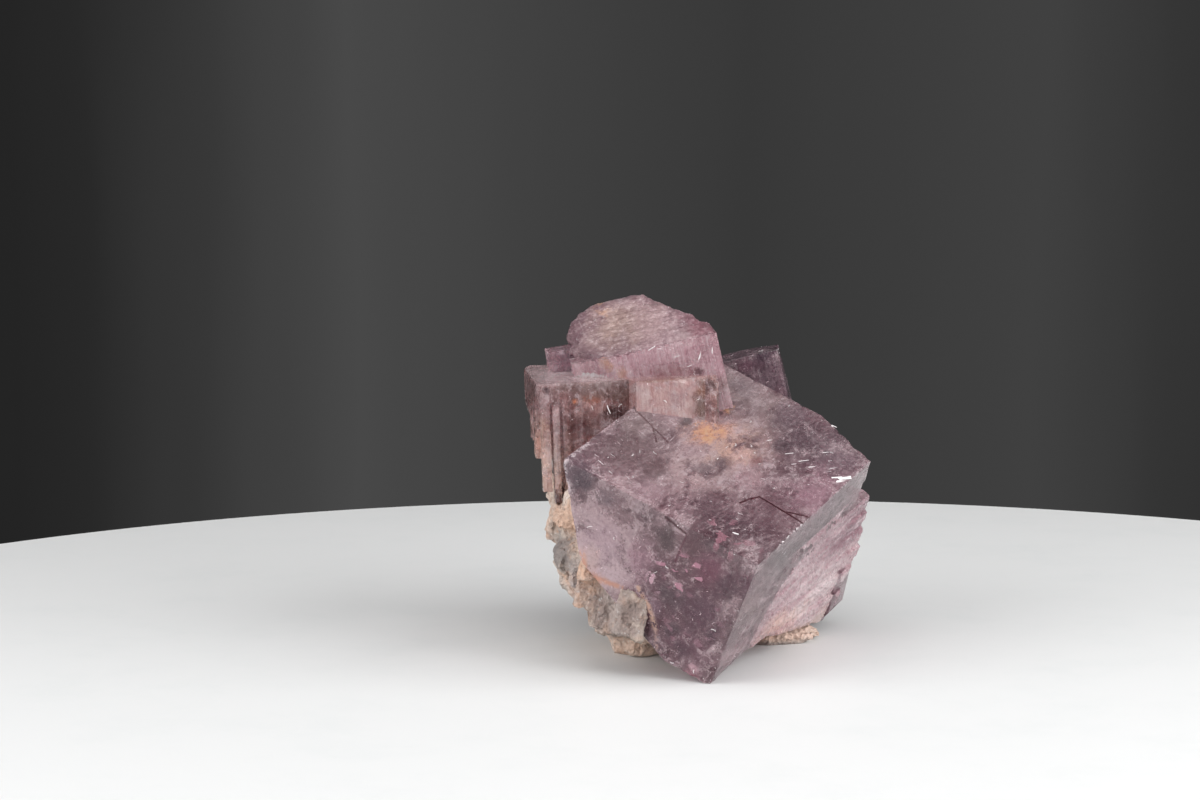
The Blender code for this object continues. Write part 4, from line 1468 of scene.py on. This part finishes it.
EDGE_CHIPS = Scatter("edge_chips", Grain.SHARD, "edge_share", 0.9, (0.05, 0.04, 0.01),
                     (0.28, 0.17, 0.05), 10.0, 3)
BRIGHT_NICKS = Scatter("bright_nicks", Grain.ARC, "nick_share", 0.09, (0.5, 0.35, 0.2),
                       (2.0, 1.6, 0.4), 5.0, 8)
FAINT_NICKS = Scatter("faint_nicks", Grain.ARC, "nick_share", 0.30, (0.25, 0.2, 0.1),
                      (1.3, 1.0, 0.25), 5.0, 21)
ROCK_GRAINS = Scatter("rock_grains", Grain.SHARD, "grain_share", 0.5, (0.15, 0.15, 0.1),
                      (0.55, 0.5, 0.3), 70.0, 5)


class Side(Enum):
    """The faces of a crystal that splinters are placed on."""

    TOP = "top"
    FRONT = "front"

    def turn(self) -> Matrix:
        """The turn that lays a flat splinter on this side."""
        return Matrix.Rotation(math.radians(90.0 if self is Side.FRONT else 0.0), 4, "X")


@dataclass(frozen=True)
class Splinters:
    """White splinters at listed spots on a crystal."""

    name: str
    # Places in the crystal's own axes, lengths, and turns within its face in degrees.
    spots: tuple[tuple[Triple, float, float], ...]
    breadth: float  # of the length
    height: float  # of the length
    crystal: Crystal = Crystal.MAIN
    side: Side = Side.TOP
    corners: int = 9
    seed: int = 12

    def build(self, material: bpy.types.Material) -> bpy.types.Object:
        """Makes the splinters as one piece.

        Args:
            material: Their material.

        Returns:
            The piece.
        """
        shape = np.random.default_rng(self.seed)
        axes = BLOCKS[self.crystal][0].axes()
        bm = bmesh.new()
        for place, length, turn in self.spots:
            spin = Matrix.Rotation(math.radians(turn), 4, "Z")
            spot = axes @ Matrix.Translation(Vector(place)) @ self.side.turn() @ spin
            reach = np.array([length / 2, length * self.breadth, length * self.height])
            points = shape.uniform(-1.0, 1.0, (self.corners, 3)) * reach
            verts = [bm.verts.new(spot @ Vector(point)) for point in points]
            hull = bmesh.ops.convex_hull(bm, input=verts)
            inner = [v for v in hull["geom_interior"] if isinstance(v, bmesh.types.BMVert)]
            bmesh.ops.delete(bm, geom=inner, context="VERTS")
        bmesh.ops.recalc_face_normals(bm, faces=bm.faces)
        made = object_from(bm, self.name)
        made.data.materials.append(material)
        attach(made, "root")
        return made


SPLINTERS = (
    Splinters(
        "placed_chips",
        (
            ((-0.8, 36.6, 0.05), 3.2, 63.0),
            ((-1.6, 36.0, 0.05), 2.2, 66.0),
            ((-1.0, 35.0, 0.05), 2.4, 60.0),
            ((-2.2, 35.2, 0.05), 1.3, 63.0),
            ((-8.6, 50.6, 0.05), 1.5, 10.0),
            ((-0.15, 17.0, -0.05), 0.9, 85.0),
            ((-0.15, 15.4, -0.05), 1.1, 100.0),
            ((-0.1, 11.8, -0.05), 1.3, 95.0),
            ((-0.1, 9.8, -0.05), 0.8, 80.0),
            ((-6.2, 4.9, 0.05), 1.2, 30.0),
            ((-33.4, 0.5, -0.3), 1.2, 90.0),
            ((-33.2, 2.0, -0.05), 1.2, 75.0),
        ),
        breadth=0.10,
        height=0.07,
    ),
    Splinters(
        "placed_scratches",
        (
            ((-10.3, 35.3, 0.02), 2.2, 63.0),
            ((-7.7, 35.5, 0.02), 3.0, 64.0),
            ((-6.3, 41.4, 0.02), 2.2, 62.0),
            ((-8.4, 33.0, 0.02), 1.6, 60.0),
            ((-5.9, 35.2, 0.02), 2.6, 63.0),
            ((-3.5, 37.9, 0.02), 2.4, 64.0),
            ((-4.6, 39.8, 0.02), 1.6, 62.0),
            ((-3.6, 35.9, 0.02), 2.0, 63.0),
            ((-14.2, 36.2, 0.02), 1.6, 62.0),
            ((-29.6, 4.4, 0.02), 1.6, -20.0),
            ((-27.7, 3.4, 0.02), 2.2, -25.0),
            ((-29.3, 8.0, 0.02), 1.4, -10.0),
            ((-24.6, 4.2, 0.02), 1.2, -30.0),
            ((-26.8, 12.9, 0.02), 1.8, -60.0),
            ((-30.8, 5.6, 0.02), 1.0, 0.0),
            ((-27.9, 20.8, 0.02), 1.2, 80.0),
        ),
        breadth=0.030,
        height=0.015,
    ),
    Splinters(
        "top_crystal_nicks",
        (
            ((-10.5, -0.02, 8.2), 1.6, 20.0),
            ((-9.2, -0.02, 7.8), 1.2, -10.0),
            ((-7.0, -0.02, 6.0), 1.4, 5.0),
            ((-5.3, -0.02, 4.1), 1.2, 10.0),
            ((-3.3, -0.02, 5.4), 2.2, 60.0),
            ((-1.3, -0.02, 5.7), 1.6, 75.0),
        ),
        breadth=0.045,
        height=0.015,
        crystal=Crystal.TOP,
        side=Side.FRONT,
    ),
    Splinters(
        "left_crystal_nicks",
        (
            ((3.1, -0.02, -4.5), 1.6, 80.0),
            ((2.9, -0.02, -5.8), 1.4, 85.0),
            ((8.7, -0.02, -4.1), 1.0, -75.0),
            ((11.3, -0.02, -4.6), 2.2, -70.0),
        ),
        breadth=0.045,
        height=0.015,
        crystal=Crystal.LEFT,
        side=Side.FRONT,
    ),
)


@dataclass
class RockMatrix:
    """The craggy rock, broken into facets and pits."""

    # Upright prisms under the main crystal's lower left rim: places in its own axes, half sizes
    # and turns about the upright in degrees.
    prisms: tuple[tuple[Triple, Triple, float], ...] = (
        ((-25.2, 3.2, -15.2), (1.5, 2.4, 2.8), 12.0),
        ((-24.3, 3.2, -19.4), (1.5, 2.6, 3.4), -8.0),
        ((-21.5, 2.8, -21.2), (1.2, 2.4, 3.7), 15.0),
        ((-19.6, 2.5, -20.4), (1.1, 2.3, 3.8), -10.0),
        ((-17.8, 1.2, -19.2), (1.1, 2.2, 3.6), 18.0),
        ((-16.2, 0.7, -18.2), (1.1, 2.2, 3.6), -14.0),
        ((-14.5, 0.5, -18.4), (1.1, 2.2, 3.4), 8.0),
        ((-15.0, 2.4, -21.6), (2.2, 2.2, 1.0), 30.0),
        ((-17.4, 2.9, -22.8), (2.2, 2.2, 0.9), -20.0),
    )
    lean: float = 7.0  # degrees
    voxel: float = 0.40
    # The relief: a share of all of it, scales per millimetre and heights of its parts, and limits.
    crag: float = 0.9
    lumps: float = 0.22
    lump_height: float = 0.9
    grit: float = 1.4
    grit_height: float = 0.16
    large_facets: tuple[float, float] = (0.26, 0.22)  # cells per millimetre and slope
    small_facets: tuple[float, float] = (0.80, 0.16)
    sunk: float = 0.1
    lowest: float = -1.2
    highest: float = 0.7
    base_band: float = 0.7  # the height over which the relief sets in above the level base
    grain_patches: float = 0.3  # per millimetre

    def add_prisms(self, bm: bmesh.types.BMesh) -> None:
        """Adds the upright prisms under the main crystal's rim.

        Args:
            bm: The rock's mesh.
        """
        axes = BLOCKS[Crystal.MAIN][0].axes()
        for place, half, turn in self.prisms:
            tilt = Euler((0.0, math.radians(self.lean), math.radians(turn))).to_matrix().to_4x4()
            spot = Matrix.Translation(axes @ Vector(place)) @ tilt @ Matrix.Diagonal((*half, 1.0))
            bmesh.ops.create_cube(bm, size=2.0, matrix=spot)

    def remeshed(self, bm: bmesh.types.BMesh) -> bmesh.types.BMesh:
        """One closed skin of small even faces round everything.

        Args:
            bm: The rock and its prisms, which is freed.

        Returns:
            The skin.
        """
        rough = object_from(bm, "rock_rough")
        remesh = rough.modifiers.new("remesh", "REMESH")
        remesh.mode = "VOXEL"
        remesh.voxel_size = self.voxel * MM
        mesh = plain_mesh(rough)
        skin = bmesh_of(mesh)
        bpy.data.meshes.remove(mesh)
        skin.normal_update()
        return skin

    def facet(self, place: Vector, cells: float, slope: float) -> float:
        """How far a point lies above its tilted cell facet.

        Args:
            place: The point in millimetres.
            cells: Cells per millimetre.
            slope: How steeply the facets tilt.

        Returns:
            The height in millimetres.
        """
        centre = noise.voronoi(place * cells)[1][0] / cells
        way = noise.cell_vector(centre * 7.3) * 2 - Vector((1.0, 1.0, 1.0))
        return (place - centre).dot(way) * slope

    def lift(self, place: Vector) -> float:
        """How far the relief lifts a point.

        Args:
            place: The point in millimetres.

        Returns:
            The height in millimetres.
        """
        broad = noise.turbulence(place * self.lumps, 3, True)
        fine = noise.noise(place * self.grit)
        lift = (broad - 0.5) * self.lump_height + fine * self.grit_height - self.sunk
        lift += self.facet(place, *self.large_facets) + self.facet(place, *self.small_facets)
        return max(self.lowest, min(self.highest, lift))

    def build(self) -> bpy.types.Object:
        """Makes the finished piece.

        Returns:
            The rock's object, which stands for the CAD node.
        """
        bm = bmesh_of(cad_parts["rock_matrix"].data)
        self.add_prisms(bm)
        bm = self.remeshed(bm)
        for vert in bm.verts:
            keep = min(1.0, max(0.0, vert.co.z / self.base_band))
            vert.co += vert.normal * self.lift(vert.co) * self.crag * keep
            vert.co.z = max(0.0, vert.co.z)
        made = object_from(bm, "rock")
        patchy = [noise.noise(v.co / MM * self.grain_patches) for v in made.data.vertices]
        add_share(made.data, "grain_share", np.maximum(0.0, np.array(patchy) * 2))
        made.data.materials.append(RockFinish().build())
        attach(made, "root")
        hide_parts("rock_matrix")
        return made


@dataclass(frozen=True)
class SoftLight:
    """A soft square light: its place, what it is aimed at, its side and its power in watts."""

    name: str
    place: Triple
    aim: Triple
    side: float
    power: float

    def build(self) -> None:
        """Hangs the light in its place."""
        data = bpy.data.lights.new(self.name, "AREA")
        data.size = self.side * MM
        data.energy = self.power
        lamp = bpy.data.objects.new(self.name, data)
        lamp.location = (Vector(self.place) + LAYOUT) * MM
        way = Vector(self.aim) - Vector(self.place)
        lamp.rotation_euler = way.to_track_quat("-Z", "Y").to_euler()
        bpy.context.scene.collection.objects.link(lamp)


@dataclass
class Studio:
    """The pale turntable, the dark backdrop, the soft lights and the camera."""

    table_centre: Triple = (5.3, -44.3, 0.0)
    table_radius: float = 194.2
    table_height: float = 12.0
    table_segments: int = 256
    table_pale: Colour = (0.665, 0.67, 0.67)
    table_worn: Colour = (0.64, 0.65, 0.65)
    table_wear: Cloud = Cloud(0.05, 6.0, 0.7)
    table_roughness: float = 0.55
    backdrop_distance: float = 520.0
    backdrop_size: float = 2400.0
    backdrop_black: Colour = (0.01, 0.01, 0.01)
    # Painted light and shade of the curtain's folds, which the curtain gives off itself: places across
    # fold_span, from 0 to 1, and tones.
    fold_span: float = 400.0
    folds: tuple[tuple[float, float], ...] = (
        (0.00, 0.009),
        (0.05, 0.013),
        (0.15, 0.030),
        (0.27, 0.056),
        (0.42, 0.041),
        (0.58, 0.030),
        (0.81, 0.042),
        (0.90, 0.027),
        (1.00, 0.018),
    )
    fold_waves: Cloud = Cloud(0.03, 2.0, 0.5)
    fold_stretch: Triple = (1.0, 0.0, 0.15)
    surround_tone: tuple[float, float, float, float] = (1.0, 0.985, 0.985, 1.0)
    surround_strength: float = 0.375
    lights: tuple[SoftLight, ...] = (
        SoftLight("overhead_soft", (10.0, -140.0, 430.0), (10.0, -30.0, 0.0), 380.0, 0.98),
        SoftLight("left_soft", (-360.0, -220.0, 200.0), (0.0, 0.0, 25.0), 420.0, 2.05),
        SoftLight("right_soft", (380.0, -180.0, 210.0), (20.0, 0.0, 20.0), 420.0, 2.9),
    )

    def table(self) -> bpy.types.Object:
        """The round table, with its top at Z = 0.

        Returns:
            The table's object.
        """
        bm = bmesh.new()
        bmesh.ops.create_cone(
            bm,
            cap_ends=True,
            segments=self.table_segments,
            radius1=self.table_radius,
            radius2=self.table_radius,
            depth=self.table_height,
        )
        place = Vector(self.table_centre) + LAYOUT - Vector((0.0, 0.0, self.table_height / 2))
        bmesh.ops.translate(bm, vec=place, verts=bm.verts)
        made = object_from(bm, "floor_table")
        material, sketch, shader = fresh_material("table_white")
        wear = sketch.smooth(sketch.noise(sketch.place(), self.table_wear), 0.45, 0.75)
        colour = sketch.mix(wear, self.table_pale, self.table_worn)
        sketch.put(shader.inputs["Base Color"], colour)
        shader.inputs["Roughness"].default_value = self.table_roughness
        made.data.materials.append(material)
        return made

    def backdrop(self) -> bpy.types.Object:
        """The dark curtain behind, which glows with the painted light and shade of broad soft folds.

        Returns:
            The curtain's object.
        """
        half = self.backdrop_size / 2
        bm = bmesh.new()
        corners = ((-half, -half), (half, -half), (half, half), (-half, half))
        bm.faces.new([bm.verts.new((x, self.backdrop_distance, z)) for x, z in corners][::-1])
        made = object_from(bm, "backdrop_curtain")
        material, sketch, shader = fresh_material("backdrop_painted_glow")
        at = sketch.place(Vector((0.0, 0.0, 0.0)))
        across = sketch.node("ShaderNodeSeparateXYZ", {0: at}).outputs["X"]
        share = sketch.math("MULTIPLY_ADD", across, 1 / self.fold_span, 0.5)
        ripple = sketch.noise(sketch.scaled(at, self.fold_stretch), self.fold_waves)
        share = sketch.math("ADD", share, sketch.math("MULTIPLY_ADD", ripple, 0.06, -0.03))
        shade = sketch.ramp(share, *[(place, (tone, tone, tone)) for place, tone in self.folds])
        sketch.put(shader.inputs["Base Color"], self.backdrop_black)
        shader.inputs["Roughness"].default_value = 1.0
        shader.inputs["Specular IOR Level"].default_value = 0.0
        # The curtain gives off the folds' painted light and shade as its own glow.
        sketch.put(shader.inputs["Emission Color"], shade)
        shader.inputs["Emission Strength"].default_value = 1.0
        made.data.materials.append(material)
        return made

    def camera(self) -> None:
        """Sets up the photograph's camera."""
        data = bpy.data.cameras.new("photo_camera")
        data.sensor_width = SENSOR
        data.lens = FOCAL_PIXELS / PHOTO_WIDTH * SENSOR
        data.clip_start = NEAREST_SEEN * MM
        eye = bpy.data.objects.new("photo_camera", data)
        eye.location = (CAMERA_PLACE + LAYOUT) * MM
        eye.rotation_euler = (math.radians(90.0 - CAMERA_PITCH), 0.0, 0.0)
        bpy.context.scene.collection.objects.link(eye)
        bpy.context.scene.camera = eye

    def surroundings(self) -> None:
        """Sets up the even grey light from all round."""
        world = bpy.data.worlds.new("studio_world")
        world.use_nodes = True
        back = world.node_tree.nodes["Background"]
        back.inputs["Color"].default_value = self.surround_tone
        back.inputs["Strength"].default_value = self.surround_strength
        bpy.context.scene.world = world

    def build(self) -> None:
        """Sets the stage."""
        self.table()
        self.backdrop()
        self.surroundings()
        for light in self.lights:
            light.build()
        self.camera()
        bpy.context.scene.view_settings.view_transform = "Standard"


def main() -> None:
    """Builds the dressed specimen and its stage, piece by piece."""
    logging.basicConfig(level=logging.INFO, format="%(message)s")
    crystals = CrystalCluster().build()
    rock = RockMatrix().build()
    white = SplinterFinish("chip_white", SPLINTER_WHITE).build()
    pink = SplinterFinish("nick_pink", NICK_PINK).build()
    stone = RockFinish("rock_grain_stone").build()
    chips = EDGE_CHIPS.strew(crystals, white)
    nicks = BRIGHT_NICKS.strew(crystals, white)
    faint = FAINT_NICKS.strew(crystals, pink)
    placed = [splinters.build(white) for splinters in SPLINTERS]
    grains = ROCK_GRAINS.strew(rock, stone)
    for piece in (crystals, rock, chips, nicks, faint, *placed, grains):
        log.info("%s: %d faces", piece.name, len(piece.data.polygons))
    Studio().build()


if __name__ == "__main__":
    main()
